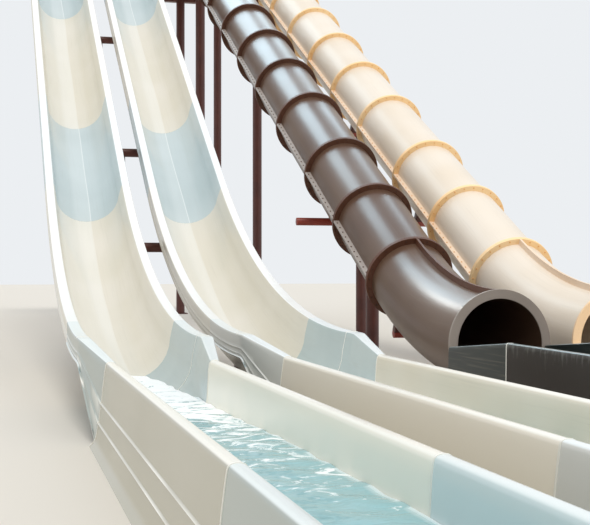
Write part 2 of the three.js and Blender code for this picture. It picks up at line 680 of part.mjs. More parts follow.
const RAIL_X = WIDTH / 2 - RAIL_INSET;
const RAIL_FRONT = DECK_FRONT + RAIL_INSET;
const RAIL_BACK = LENGTH - RAIL_INSET;
for (const [name, side] of [['left', -1], ['right', 1]]) {
  const corner = point(side * RAIL_X, RAIL_BACK, DECK_TOP);
  add(`rail_${name}`, guardRail(point(side * RAIL_X, RAIL_FRONT, DECK_TOP), corner, SIDE_BAYS), GREY_STEEL);
  const outer = point(side * (RAIL_X - CORNER_GAP), RAIL_BACK, DECK_TOP);
  const inner = point((side * ACCESS_GAP) / 2, RAIL_BACK, DECK_TOP);
  add(`rail_back_${name}`, guardRail(outer, inner, BACK_BAYS), GREY_STEEL);
}

export default group;
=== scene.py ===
"""Water slide tower: two open speed lanes and two enclosed tubes come down side by side from one deck.

Metres. +X is to the right of someone who looks up the slides, +Y points up the slides, +Z is up, and the
origin is on the ground in the middle of the footprint. A station is a distance along Y from the closed end
of the run-outs.
"""

import json
import math
from functools import partial

import bpy
from mathutils import Matrix, Vector

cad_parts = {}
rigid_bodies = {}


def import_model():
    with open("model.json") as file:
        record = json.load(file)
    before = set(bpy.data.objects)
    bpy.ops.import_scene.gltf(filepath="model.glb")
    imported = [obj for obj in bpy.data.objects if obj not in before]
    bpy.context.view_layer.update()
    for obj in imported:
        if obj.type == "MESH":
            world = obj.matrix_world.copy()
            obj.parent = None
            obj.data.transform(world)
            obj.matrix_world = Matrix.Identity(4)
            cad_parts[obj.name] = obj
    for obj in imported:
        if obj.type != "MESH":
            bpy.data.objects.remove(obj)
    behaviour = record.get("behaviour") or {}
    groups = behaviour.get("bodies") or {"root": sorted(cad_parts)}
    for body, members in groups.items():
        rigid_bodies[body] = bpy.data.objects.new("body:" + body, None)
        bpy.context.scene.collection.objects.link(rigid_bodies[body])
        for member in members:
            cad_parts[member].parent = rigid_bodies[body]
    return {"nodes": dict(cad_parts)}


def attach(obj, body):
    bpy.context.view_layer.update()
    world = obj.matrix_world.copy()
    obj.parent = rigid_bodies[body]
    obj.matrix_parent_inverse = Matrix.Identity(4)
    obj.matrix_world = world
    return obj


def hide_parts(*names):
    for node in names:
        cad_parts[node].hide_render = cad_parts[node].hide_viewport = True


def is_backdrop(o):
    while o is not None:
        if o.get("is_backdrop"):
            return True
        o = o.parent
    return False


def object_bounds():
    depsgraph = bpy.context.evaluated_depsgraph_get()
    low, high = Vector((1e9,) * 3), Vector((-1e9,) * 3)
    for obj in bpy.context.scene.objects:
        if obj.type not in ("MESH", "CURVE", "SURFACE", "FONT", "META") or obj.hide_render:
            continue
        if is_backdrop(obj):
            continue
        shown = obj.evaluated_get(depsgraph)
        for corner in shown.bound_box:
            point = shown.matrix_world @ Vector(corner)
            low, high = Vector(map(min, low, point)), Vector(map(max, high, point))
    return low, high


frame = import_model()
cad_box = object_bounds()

# Sizes that the solids have too
LENGTH = 34.83
RUNOUT_SECTION, RUNOUT_COUNT, TRANSITION, TRANSITION_FOOT = 4.07, 3, 1.04, 0.452
DROP_RIM, DROP_START, LANE_B_SHIFT, LANE_TUB = 0.66, 13.25, 0.2, 1.76
TUBE_SECTIONS, LOW_SECTIONS = [1.39, 1.41, 1.7, *[1.5] * 8], 5
MOUTH_STATION, MOUTH_Z, TUBE_TUB, STARTER, EXIT_SECTION = 13.78, 0.512, 1.2, 1.15, 3.84
DECK_TOP, DECK_FRONT, DECK_WIDTH = 8.617, 31.33, 6.12
RING, SOLID_SHELL, TOUCH = 0.48, 0.012, 0.0003

# Sizes of the looks alone
SHELL, TUBE_SKIN, TUBE_SIDES = 0.010, 0.415, 96
SEAM_FLANGE, FLANGE_PLATE = 0.477, 0.012
JOINT_GAP, RUNOUT_GAP = 0.0008, 0.0015


def row_y(station):
    return station - LENGTH / 2


class Slide:
    """The line that a slide follows: level, round a bottom curve, straight up, over a crest, then level.

    A place on it is how far along it, how far to the right, and how high above it, square to it. A lane's
    line lies at its rims and a tube's in its axis. The steps are the lengths of the facets of its bottom
    curve and of its crest.
    """

    def __init__(self, x, station, low, slope, radius, straight, crest_radius, steps):
        self.x, self.y, self.low, self.slope = x, row_y(station), low, slope
        self.radius, self.crest_radius, self.steps = radius, crest_radius, steps
        self.arc = radius * slope
        self.crest = self.arc + straight
        self.end = self.crest + crest_radius * slope

    def place(self, run, rise=0.0):
        """(y from the foot of the bottom curve, z, slope)."""
        slope = min(max(run, 0) / self.radius, self.slope)
        straight = min(max(run - self.arc, 0), self.crest - self.arc)
        y = self.radius * math.sin(slope) + min(run, 0) + straight * math.cos(self.slope)
        z = self.low + self.radius * (1 - math.cos(slope)) + straight * math.sin(self.slope)
        if run > self.crest:
            slope -= min(run - self.crest, self.end - self.crest) / self.crest_radius
            y += self.crest_radius * (math.sin(self.slope) - math.sin(slope)) + max(run - self.end, 0)
            z += self.crest_radius * (math.cos(slope) - math.cos(self.slope))
        return y - rise * math.sin(slope), z + rise * math.cos(slope), slope

    def point(self, run, across=0.0, rise=0.0):
        y, z, _ = self.place(run, rise)
        return Vector((self.x + across, self.y + y, z))

    def unroll(self, point):
        """(across, run, rise) of a point: the opposite of point, for patterns that follow the slide."""
        across, y, z = point.x - self.x, point.y - self.y, point.z
        if y <= 0:
            return across, y, z - self.low
        drop = self.low + self.radius - z
        turn = math.atan2(y, drop)
        if turn <= self.slope:
            return across, self.radius * turn, self.radius - math.hypot(y, drop)
        curve_y, curve_z, _ = self.place(self.arc)
        ahead, up = y - curve_y, z - curve_z
        run = ahead * math.cos(self.slope) + up * math.sin(self.slope)
        if run <= self.crest - self.arc:
            return across, self.arc + run, up * math.cos(self.slope) - ahead * math.sin(self.slope)
        end_y, end_z, _ = self.place(self.end)
        back, height = end_y - y, z - end_z + self.crest_radius
        turn = math.atan2(back, height)
        if turn > 0:
            return across, self.end - self.crest_radius * turn, math.hypot(back, height) - self.crest_radius
        return across, self.end - back, z - end_z


LANE_LINE = (DROP_RIM, math.radians(33), 10.0, 10.845, 6.127, (0.16, 0.16))
TUBE_LINE = (MOUTH_Z, math.radians(28), 4.835, sum(TUBE_SECTIONS), 2.5, (0.12, 0.103))
LANE_A, LANE_B = Slide(-2.159, DROP_START, *LANE_LINE), Slide(-0.899, DROP_START + LANE_B_SHIFT, *LANE_LINE)
BROWN, CREAM = Slide(1.012, MOUTH_STATION, *TUBE_LINE), Slide(2.187, MOUTH_STATION, *TUBE_LINE)
FIRST_JOINT, CURVE_JOINT, LOW_JOINT = 1.15, LANE_A.arc - 0.15, LANE_A.arc + 2.4
LANE_JOINTS = [FIRST_JOINT, CURVE_JOINT, LOW_JOINT, (LOW_JOINT + LANE_A.crest) / 2, LANE_A.crest, LANE_A.end]
TUBE_JOINTS = [BROWN.arc + sum(TUBE_SECTIONS[:k]) for k in range(len(TUBE_SECTIONS) + 1)]

# The camera stands just left of the speed lanes' run-outs, 1.16 m above the ground, and looks up the slides
bpy.ops.object.camera_add(location=(-3.25, -12.815, 1.16), rotation=(math.radians(90), 0, math.radians(-14.72)))
camera = bpy.context.object
camera.data.sensor_width = 36.0
camera.data.lens = 69.8
camera.data.shift_y = 0.0125
bpy.context.scene.camera = camera
bpy.context.scene.view_settings.view_transform = "Standard"

# Mesh tools


def deselect():
    bpy.ops.object.select_all(action="DESELECT")


def select(*objects):
    deselect()
    for each in objects:
        each.select_set(True)
    bpy.context.view_layer.objects.active = objects[0]


def made(name):
    """Names the piece just made and puts its place and turn into its mesh."""
    piece = bpy.context.object
    piece.name = piece.data.name = name
    bpy.ops.object.transform_apply()
    return piece


def edit():
    """Opens the active piece in edit mode, selected all over."""
    bpy.ops.object.mode_set(mode="EDIT")
    bpy.ops.mesh.select_all(action="SELECT")


def leave():
    bpy.ops.object.mode_set(mode="OBJECT")


def draw(name, points, closed=False, filled=False):
    """Starts a piece as a wire through the points, which may be closed and filled, selected in edit mode."""
    deselect()
    bpy.ops.mesh.primitive_plane_add(size=0.01, location=points[0])
    piece = made(name)
    edit()
    bpy.ops.mesh.merge(type="CENTER")
    if closed or filled:
        points = [*points, points[0]]
    for before, after in zip(points, points[1:]):
        bpy.ops.mesh.extrude_region_move(TRANSFORM_OT_translate={"value": after - before})
    bpy.ops.mesh.select_all(action="SELECT")
    if closed or filled:
        bpy.ops.mesh.remove_doubles(threshold=0.00001)
    if filled:
        bpy.ops.mesh.edge_face_add()
        bpy.ops.mesh.select_all(action="SELECT")
    return piece


def pull(distance, slope=0.0):
    """Extrudes the selected row along a straight of the slide."""
    step = (0, distance * math.cos(slope), distance * math.sin(slope))
    bpy.ops.mesh.extrude_region_move(TRANSFORM_OT_translate={"value": step})


def sweep(slide, start, end):
    """Takes the selected outline along a slide. A sweep over the crest starts there."""
    if start < slide.arc:
        length = min(end, slide.arc) - start
        bpy.ops.mesh.spin(
            steps=math.ceil(length / slide.steps[0]), angle=-length / slide.radius, axis=(1, 0, 0),
            center=(slide.x, slide.y, slide.low + slide.radius),
        )
        start += length
    if slide.arc < end <= slide.crest:
        pull(end - start, slide.slope)
    elif slide.crest < end <= slide.end:
        bpy.ops.mesh.spin(
            steps=math.ceil((end - start) / slide.steps[1]), angle=(end - start) / slide.crest_radius,
            axis=(1, 0, 0), center=slide.point(slide.end, 0, -slide.crest_radius),
        )
    elif end > slide.end:
        pull(end - start)


def close_up(piece, recalculate=True):
    """Leaves edit mode with doubles merged and, on a closed skin, faces outwards."""
    bpy.ops.mesh.select_all(action="SELECT")
    bpy.ops.mesh.remove_doubles(threshold=0.00002)
    if recalculate:
        bpy.ops.mesh.normals_make_consistent(inside=False)
    leave()
    return piece


def apply(piece, kind, **settings):
    """Adds a modifier and applies it."""
    modifier = piece.modifiers.new(kind.lower(), kind)
    for key, value in settings.items():
        setattr(modifier, key, value)
    select(piece)
    bpy.ops.object.modifier_apply(modifier=modifier.name)


def soften(piece, width):
    """Rounds the sharp edges."""
    apply(piece, "BEVEL", width=width, segments=2, limit_method="ANGLE")
    return piece


def smooth(piece, degrees=35):
    select(piece)
    bpy.ops.object.shade_smooth_by_angle(angle=math.radians(degrees))
    return piece


def write_flow(piece, slide):
    """Stores (across, run, rise) on each vertex."""
    places = [value for vertex in piece.data.vertices for value in slide.unroll(vertex.co)]
    piece.data.attributes.new("flow", "FLOAT_VECTOR", "POINT").data.foreach_set("vector", places)
    return piece


def finish_sheet(piece, slide, thickness=SHELL, offset=-1):
    """Turns a sheet's face up, thickens it, trims what then lies below the ground and smooths it."""
    close_up(piece, recalculate=False)
    lowest = min(piece.data.polygons, key=lambda face: face.center.z - face.center.y * 0.5 + abs(face.normal.x))
    if lowest.normal.z < 0:
        select(piece)
        edit()
        bpy.ops.mesh.flip_normals()
        leave()
    apply(piece, "SOLIDIFY", thickness=thickness, offset=offset)
    for vertex in piece.data.vertices:
        vertex.co.z = max(vertex.co.z, 0)
    return write_flow(smooth(piece), slide)


def join(name, pieces):
    select(*pieces)
    if len(pieces) > 1:
        bpy.ops.object.join()
    return made(name)


def copy_moved(piece, name, move):
    """A copy with its own mesh, moved in its mesh."""
    select(piece)
    bpy.ops.object.duplicate()
    copy = made(name)
    copy.data.transform(Matrix.Translation(move))
    return copy


def dress(piece, material, slot, *nodes):
    """Gives a finished piece its material and hides the solids that it stands for. The slot is not used."""
    piece.data.materials.clear()
    piece.data.materials.append(material)
    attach(piece, "root")
    if nodes:
        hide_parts(*nodes)


OTHER_PATTERN = 63.0


def dress_pair(one, other, move, piece, looks, slots, *nodes):
    """Dresses a piece and its copy on the slide beside it, where the streaks lie in other places.

    The material and the slot are one for both, or a pair.
    """
    copy = copy_moved(piece, piece.name.replace(one, other), move)
    if "flow" in copy.data.attributes:
        for value in copy.data.attributes["flow"].data:
            value.vector = (value.vector[0], value.vector[1] + OTHER_PATTERN, value.vector[2])
    looks, slots = (each if isinstance(each, tuple) else (each, each) for each in (looks, slots))
    dress(piece, looks[0], slots[0], *nodes)
    dress(copy, looks[1], slots[1], *(node.replace(one, other) for node in nodes))


lane_piece = partial(dress_pair, "lane_a", "lane_b", (LANE_B.x - LANE_A.x, LANE_B_SHIFT, 0))
tube_piece = partial(dress_pair, "brown", "cream", (CREAM.x - BROWN.x, 0, 0))


def pipe(name, start, end, radius, sides=28, edge=0.0):
    """A round bar between two points, with a small round on the rims of its ends if an edge is given."""
    start, end = Vector(start), Vector(end)
    along = end - start
    deselect()
    bpy.ops.mesh.primitive_cylinder_add(
        vertices=sides, radius=radius, depth=along.length, location=(start + end) / 2,
        rotation=along.to_track_quat("Z", "Y").to_euler(),
    )
    return soften(made(name), edge) if edge else made(name)


def block(name, size, centre, slope=0.0, edge=0.003):
    """A plate or block with rounded edges, tipped about X."""
    deselect()
    bpy.ops.mesh.primitive_cube_add(size=1, location=centre, rotation=(slope, 0, 0), scale=size)
    return soften(made(name), edge)


def bolt(name, place, pointing, size=0.0095):
    """A hexagon head on its washer, at a place on the clamped face."""
    thick, height, washer_radius = 0.003, size * 0.8, size * 1.45
    deselect()
    bpy.ops.mesh.primitive_cylinder_add(
        vertices=10, radius=washer_radius, depth=thick, location=(0, 0, thick / 2)
    )
    washer = made("washer")
    deselect()
    bpy.ops.mesh.primitive_cylinder_add(
        vertices=6, radius=size * 1.1, depth=height, location=(0, 0, thick + height / 2)
    )
    head = made("head")
    bpy.ops.object.mode_set(mode="EDIT")
    bpy.ops.mesh.select_mode(type="FACE")
    bpy.ops.mesh.select_all(action="DESELECT")
    leave()
    for face in head.data.polygons:
        face.select = face.normal.z > 0.9
    bpy.ops.object.mode_set(mode="EDIT")
    bpy.ops.mesh.inset(thickness=size * 0.18, depth=size * 0.12)
    bpy.ops.mesh.select_mode(type="VERT")
    leave()
    piece = join(name, [head, washer])
    turn = Vector(pointing).to_track_quat("Z", "Y").to_matrix().to_4x4()
    piece.data.transform(Matrix.Translation(Vector(place)) @ turn)
    return piece

# Materials


def from_hex(colour):
    """sRGB hex to linear."""
    channels = [int(colour[k:k + 2], 16) / 255 for k in (1, 3, 5)]
    linear = [c / 12.92 if c <= 0.04045 else ((c + 0.055) / 1.055) ** 2.4 for c in channels]
    return (*linear, 1.0)


def link(node, sources):
    """Links a node's inputs to sources: a socket, or a node for the first of its outputs that is in use."""
    for key, source in sources.items():
        socket = next(each for each in getattr(source, "outputs", [source]) if each.enabled)
        node.id_data.links.new(socket, node.inputs[key])


def add_node(tree, kind, settings=None, links=None):
    """Adds a node. A setting is an input's name or number, or else a property."""
    node = tree.nodes.new("ShaderNode" + kind)
    for key, value in (settings or {}).items():
        if isinstance(key, int) or key in node.inputs:
            node.inputs[key].default_value = value
        else:
            setattr(node, key, value)
    link(node, links or {})
    return node


def new_finish(name):
    """An empty material, the function that adds its nodes, and its surface shader."""
    material = bpy.data.materials.new(name)
    material.use_nodes = True
    material.node_tree.nodes.clear()
    add = partial(add_node, material.node_tree)
    surface = add("BsdfPrincipled")
    add("OutputMaterial", {}, {"Surface": surface})
    return material, add, surface


COLOUR_MIX = {"data_type": "RGBA"}
SOFT = {"interpolation_type": "SMOOTHSTEP"}
TIMES = {"operation": "MULTIPLY"}
TIMES_PLUS = {"operation": "MULTIPLY_ADD"}
ROUGHNESS_RANGE = 0.035


def gelcoat(
    name, colour, faded, film=0.0, line=0.0, rim=None, inner=None, outer=None, ridges=0.0, drips=0.0,
    grime=0.10, roughness=0.23,
):
    """Polyester gelcoat over glass fibre, laid up on a polished mould and years in sun and water.

    It gives the eye an even semi-gloss colour that has chalked a little paler in soft clouds, faint streaks
    along the flow and, on an open slide, rims painted paler for the light from above and partly for sun
    bleaching, and a paler band with long straight edges, left of the middle of the floor, where the water runs,
    partly a painted reflection. On the run-outs the inner and outer wall colours are painted light and shade,
    and the ribs carry painted highlights.
    """
    material, add, surface = new_finish(name)
    flow = add("Attribute", {"attribute_name": "flow"}).outputs["Vector"]
    place = add("TexCoord").outputs["Object"]
    across, run, rise = add("SeparateXYZ", {}, {0: flow}).outputs

    # Chalked clouds about 1 m across
    clouds = add("TexNoise", {"Scale": 0.9, "Detail": 2.0, "Roughness": 0.5}, {"Vector": place})
    cloudy = add("MapRange", {**SOFT, 1: 0.35, 2: 0.7}, {0: clouds})
    shown = add("Mix", {**COLOUR_MIX, 6: from_hex(colour), 7: from_hex(faded)}, {0: cloudy})
    matt, gloss = roughness + ROUGHNESS_RANGE, roughness - ROUGHNESS_RANGE
    shine = add("MapRange", {1: 0.3, 2: 0.7, 3: gloss, 4: matt}, {0: clouds})

    # Streaks 15 mm wide and 0.7 m long
    long_way = add("Mapping", {"Scale": (65.0, 1.4, 65.0)}, {"Vector": flow})
    streaks = add("TexNoise", {"Scale": 1.0, "Detail": 3.0, "Roughness": 0.55}, {"Vector": long_way})
    layers = [(add("MapRange", {1: 0.55, 2: 0.8, 4: grime}, {0: streaks}), "#8D8678")]

    if film:
        # The band reaches from 0.34 m left of the middle to 0.05 m right of it, and its edges wander by 15 mm
        wander = add("Mapping", {"Scale": (0.0, 0.35, 0.0)}, {"Vector": flow})
        drift = add("TexNoise", {"Scale": 1.0, "Detail": 1.0}, {"Vector": wander})
        shifted = add("Math", {**TIMES_PLUS, 1: 0.06}, {0: drift, 2: across})
        left = add("MapRange", {**SOFT, 1: -0.32, 2: -0.29}, {0: shifted})
        right = add("MapRange", {**SOFT, 1: 0.095, 2: 0.075}, {0: shifted})
        below = add("MapRange", {1: -0.15, 2: -0.2}, {0: rise})
        wetted = add("Math", TIMES, {0: add("Math", TIMES, {0: left, 1: right}), 1: below})
        # Painted reflection: the band is painted paler, partly for the wet film itself and partly for the sky's
        # reflection in it
        layers.append((add("Math", {**TIMES, 1: film}, {0: wetted}), "#F6F9F8"))
        # A brighter line painted along the band's right edge
        aside = add("Math", {"operation": "SUBTRACT", 1: 0.088}, {0: shifted})
        near = add("Math", {"operation": "ABSOLUTE"}, {0: aside})
        trace = add("MapRange", {**SOFT, 1: 0.010, 2: 0.002, 4: line}, {0: near})
        layers.append((add("Math", TIMES, {0: trace, 1: below}), "#FBFDFC"))
        shine = add("MapRange", {4: 0.12}, {0: wetted, 3: shine})

    facing = add("NewGeometry").outputs["Normal"]
    sideways, _, upward = add("SeparateXYZ", {}, {0: facing}).outputs
    # More than 0 on a wall that looks away from the middle of its slide
    away = add("Math", TIMES, {0: sideways, 1: across})
    if inner:
        # Painted light: inside a run-out the walls are painted lighter for the light that falls and is thrown
        # onto them
        inside = add("MapRange", {1: 0.02, 2: -0.02}, {0: away})
        level = add("Math", {"operation": "LESS_THAN", 1: -TRANSITION}, {0: run})
        layers.append((add("Math", TIMES, {0: inside, 1: level}), inner))
    if outer:
        # The outer walls get a colour of their own; on the run-outs it is painted light and shade, lighter on
        # lane B and darker on lane A
        outside = add("MapRange", {1: 0.10, 2: 0.20}, {0: away})
        layers.append((outside, outer))
        if drips:
            # Pale lime runs down them from the rim, 10 mm wide and up to 0.2 m long
            runs = add("Mapping", {"Scale": (0.0, 17.0, 3.5)}, {"Vector": flow})
            spread = add("TexNoise", {"Scale": 1.0, "Detail": 5.0, "Roughness": 0.7}, {"Vector": runs})
            depth = add("MapRange", {1: -0.22, 2: 0.12, 4: 0.30}, {0: rise})
            reached = add("Math", {"operation": "ADD"}, {0: spread, 1: depth})
            limed = add("MapRange", {1: 0.74, 2: 0.90, 4: drips}, {0: reached})
            layers.append((add("Math", TIMES, {0: limed, 1: outside}), "#8E918C"))
    if ridges:
        # The thin ribs along the outer walls are painted as pale lines with painted highlights, brighter in
        # stretches along them
        ridge = add("Attribute", {"attribute_name": "ridge"}).outputs["Fac"]
        lengths = add("Mapping", {"Scale": (0.0, 0.9, 0.0)}, {"Vector": flow})
        glint_stretches = add("TexNoise", {"Scale": 1.0, "Detail": 1.0}, {"Vector": lengths})
        wear = add("MapRange", {**SOFT, 1: 0.44, 2: 0.6, 3: ridges}, {0: glint_stretches})
        pale_highlit_rib = add("Math", TIMES, {0: ridge, 1: wear})
        layers.append((pale_highlit_rib, "#FDFBF2"))
        shine = add("MapRange", {4: 0.1}, {0: pale_highlit_rib, 3: shine})
    if rim:
        # Painted light: what faces the sky at the height of the rims is painted paler for the light from above,
        # and partly for sun bleaching
        lit_from_above = add("MapRange", {**SOFT, 1: 0.45, 2: 0.82}, {0: upward})
        ledge = add("MapRange", {**SOFT, 1: -0.22, 2: -0.19}, {0: rise})
        layers.append((add("Math", TIMES, {0: lit_from_above, 1: ledge}), rim))
    for share, tint in layers:
        shown = add("Mix", {**COLOUR_MIX, 7: from_hex(tint)}, {0: share, 6: shown})

    # The mould's long shallow waves
    waves = add("TexNoise", {"Scale": 3.0, "Detail": 0.0}, {"Vector": place})
    bump = add("Bump", {"Strength": 0.10, "Distance": 0.003}, {"Height": waves})
    link(surface, {"Base Color": shown, "Roughness": shine, "Normal": bump})
    surface.inputs["IOR"].default_value = 1.52
    return material


def painted_steel(name, colour, under, wear=0.35):
    """Gloss paint brushed on hot-rolled steel: it has dulled, and rust creeps out along scratches."""
    material, add, surface = new_finish(name)
    place = add("TexCoord").outputs["Object"]
    patches = add("TexNoise", {"Scale": 4.0, "Detail": 6.0, "Roughness": 0.65}, {"Vector": place})
    dull = add("MapRange", {1: 0.3, 2: 0.7}, {0: patches})
    paint = add("Mix", {**COLOUR_MIX, 6: from_hex(colour), 7: from_hex(under)}, {0: dull})
    pits = add("TexNoise", {"Scale": 45.0, "Detail": 5.0, "Roughness": 0.7}, {"Vector": place})
    both = add("Math", TIMES, {0: patches, 1: pits})
    rusty = add("MapRange", {1: 0.33, 2: 0.4, 4: wear}, {0: both})
    shown = add("Mix", {**COLOUR_MIX, 7: from_hex("#5B2A18")}, {0: rusty, 6: paint})
    shine = add("MapRange", {3: 0.42, 4: 0.85}, {0: rusty})
    bump = add("Bump", {"Strength": 0.25, "Distance": 0.0012}, {"Height": pits})
    link(surface, {"Base Color": shown, "Roughness": shine, "Normal": bump})
    return material


def galvanised(name, light, dark, metallic=0.8):
    """Hot-dip galvanised fixings: grey zinc with a faint spangle, dulled by chlorinated water."""
    material, add, surface = new_finish(name)
    spangle = add("TexVoronoi", {"Scale": 140.0}, {"Vector": add("TexCoord").outputs["Object"]})
    tone = add("Mix", {**COLOUR_MIX, 6: from_hex(light), 7: from_hex(dark)}, {0: spangle})
    grain = add("MapRange", {3: 0.38, 4: 0.6}, {0: spangle})
    link(surface, {"Base Color": tone, "Roughness": grain})
    surface.inputs["Metallic"].default_value = metallic
    return material


def ribbed_boards(name, board=0.140, rib=0.012):
    """Grey-brown composite deck boards 140 mm wide with ribs every 12 mm and 5 mm joints between boards."""
    material, add, surface = new_finish(name)
    place = add("TexCoord").outputs["Object"]
    along = add("SeparateXYZ", {}, {0: place}).outputs[1]
    boards = add("Math", {**TIMES, 1: 1 / board}, {0: along})
    number = add("Math", {"operation": "FLOOR"}, {0: boards})
    within = add("Math", {"operation": "FRACT"}, {0: boards})
    joint = add("MapRange", {2: 0.04}, {0: within})
    tone = add("TexWhiteNoise", {"noise_dimensions": "1D"}, {"W": number})
    fibres = add("Mapping", {"Scale": (3.0, 90.0, 90.0)}, {"Vector": place})
    grain = add("TexNoise", {"Scale": 1.0, "Detail": 5.0}, {"Vector": fibres})
    mixed = add("Math", {**TIMES_PLUS, 1: 0.5}, {0: tone, 2: grain})
    wood = add("Mix", {**COLOUR_MIX, 6: from_hex("#8A8177"), 7: from_hex("#B0A99D")}, {0: mixed})
    shown = add("Mix", {**COLOUR_MIX, 6: from_hex("#2B2723")}, {0: joint, 7: wood})
    turns = add("Math", {**TIMES, 1: 2 * math.pi / rib}, {0: along})
    ribs = add("Math", {"operation": "SINE"}, {0: turns})
    relief = add("Math", {**TIMES_PLUS, 1: 4.0}, {0: joint, 2: ribs})
    bump = add("Bump", {"Strength": 0.6, "Distance": 0.001}, {"Height": relief})
    link(surface, {"Base Color": shown, "Normal": bump})
    surface.inputs["Roughness"].default_value = 0.72
    return material


# Glass fibre finishes. The colours change from section to section, as on the real slides.
# Their rim colours are painted light from above, partly sun bleaching, and their film bands are partly painted
# reflection
PALE_BLUE = gelcoat("pale_blue_gelcoat", "#BCC9CB", "#C5D1D3", film=0.14, line=0.4, rim="#F1F5F6")
CREAM_LANE = gelcoat("cream_gelcoat", "#D9D4C5", "#DED9CD", film=0.30, line=0.12, rim="#F3F4F2")
# Lane B's run-outs get lighter copies of lane A's finishes, painted light; in both, the rim, inner and outer
# colours paint light and shade
BLUE_GREY, BEIGE = (
    tuple(
        gelcoat(name + "_gelcoat", colour, faded, rim=rim, inner=inner, outer=outer, ridges=ridges)
        for name, colour, faded, rim, inner, outer in pair
    )
    for ridges, *pair in (
        (
            0.35, ("blue_grey", "#A6B6B7", "#B1BFBF", "#E3EBEB", "#C9D6D6", "#A3ABA5"),
            ("bleached_blue_grey", "#AEBDBD", "#B8C6C5", "#EAF1F2", "#DAE3E2", "#D3D3CD"),
        ),
        (
            0.50, ("beige", "#B4AE9B", "#BCB6A4", "#F4F2E9", "#EDE9DB", "#ADA997"),
            ("bleached_beige", "#DCD2BE", "#E2DAC9", "#F4F2E9", "#F8F5E9", "#ECE4D4"),
        ),
    )
)
# Pale sealant in the joints between sections, its tops painted paler for the light from above
SEALANT = gelcoat("seam_sealant", "#E0DED4", "#EAE7DE", rim="#F7F5EF", roughness=0.5)
# The brown tube's finish and the cream tube's, each with its colour, faded colour, grime and roughness
SHELLS, RINGS, FLANGES, MOUTHS = (
    tuple(
        gelcoat(name + "_gelcoat", colour, faded, grime=grime, roughness=roughness)
        for name, colour, faded, grime, roughness in pair
    )
    for pair in (
        (("brown", "#563E30", "#624B3B", 0.1, 0.34), ("warm_cream", "#E4D6C3", "#E9DECF", 0.1, 0.32)),
        (("brown_ring", "#54301C", "#613A28", 0.15, 0.5), ("amber_ring", "#FFD396", "#FFDEAC", 0.05, 0.45)),
        (("faded_brown", "#9A8F87", "#A69C95", 0.2, 0.5), ("faded_cream", "#EBCFB2", "#F2DCC4", 0.1, 0.45)),
        (
            ("weathered_mouth", "#857A71", "#92877E", 0.3, 0.45),
            ("peach_mouth", "#F5D2A6", "#F8DDBA", 0.1, 0.45),
        ),
    )
)
# Dark glass fibre of the brown tube's exit trough, with pale limescale drips on its outside, a painted
# grey-blue highlight on its rims and a darker brown on its outer walls
DARK = partial(gelcoat, rim="#67706F", roughness=0.32)
DARK_TROUGH = DARK("dark_trough_gelcoat", "#33332F", "#3E3F3B", outer="#1E1611", drips=0.32, grime=0.3)
DARK_STARTER = DARK("dark_starter_gelcoat", "#232826", "#2E3432", grime=0.35)
# Fixings: bare zinc, and zinc covered with the tubes' own gelcoat
ZINC = galvanised("galvanised_fixings", "#8B8B88", "#5E5A54")
FIXINGS = (
    galvanised("brown_covered_fixings", "#553629", "#442A1F", metallic=0.1),
    galvanised("amber_covered_fixings", "#F3BD7C", "#E3AC6A", metallic=0.0),
)

# Speed lanes: modelled on lane A and copied to lane B

# Corners of half a lane's section, from its outer foot to the middle of its floor: (across, rise, round).
# The drop and the run-out have the same number of corners, so that one can blend into the other.
FLOOR_HALF_WIDTH, FLOOR_DEPTH, FLOOR_CENTRE = 0.372, 0.36, -0.160
FLOOR_HALF = [
    (FLOOR_HALF_WIDTH * math.cos(turn), FLOOR_CENTRE - FLOOR_DEPTH * math.sin(turn), 0)
    for turn in (math.radians(11.25 * k) for k in range(1, 9))
]
DROP_HALF = [
    (0.500, -0.185, 0), (0.4995, -0.180, 0.002), (0.4995, -0.160, 0.004), (0.5045, -0.152, 0),
    (0.4995, -0.144, 0), (0.4995, -0.118, 0), (0.5045, -0.110, 0), (0.4995, -0.102, 0),
    (0.5005, -0.070, 0.02), (0.5025, -0.014, 0.01), (0.497, -0.0005, 0.012), (0.406, -0.0005, 0.012),
    (0.397, -0.030, 0.01), (FLOOR_HALF_WIDTH, FLOOR_CENTRE, 0.05), *FLOOR_HALF,
]
RUNOUT_HALF = [
    (0.490, 0, 0), (0.450, 0.040, 0.03), (0.4305, 0.142, 0.004), (0.4365, 0.151, 0),
    (0.4265, 0.161, 0), (0.4135, 0.270, 0), (0.4195, 0.279, 0), (0.4095, 0.289, 0),
    (0.3990, 0.395, 0.02), (0.3860, 0.500, 0.05), (0.3780, 0.550, 0.045), (0.3165, 0.550, 0.045),
    (0.307, 0.492, 0.03), (0.296, 0.300, 0.05),
    (0.290, 0.240, 0), (0.283, 0.190, 0), (0.268, 0.155, 0), (0.235, 0.136, 0),
    (0.190, 0.128, 0), (0.130, 0.124, 0), (0.065, 0.121, 0), (0, 0.120, 0),
]
DROP_RIBS, RUNOUT_RIBS, RIB_HALF_WIDTH = (-0.110, -0.152), (0.279, 0.151), 0.009
RIM_CORNERS, OUTER_WALL = (9, 10, 11, 12), 0.38
ROUND_STEPS = 4


def rounded(corners):
    """The section's line with its corners rounded."""
    line = []
    for k, (across, rise, size) in enumerate(corners):
        here = Vector((across, rise))
        if not size:
            line.append(here)
            continue
        before, after = (Vector(corners[k + step][:2]) - here for step in (-1, 1))
        reach = min(size, before.length * 0.45, after.length * 0.45)
        start, end = (here + way.normalized() * reach for way in (before, after))
        for step in range(ROUND_STEPS + 1):
            f = step / ROUND_STEPS
            line.append(start * (1 - f) ** 2 + here * (2 * f * (1 - f)) + end * f ** 2)
    return line


def whole(half):
    """Both sides of a section, left to right."""
    return [Vector((-p.x, p.y)) for p in half] + [p.copy() for p in reversed(half[:-1])]


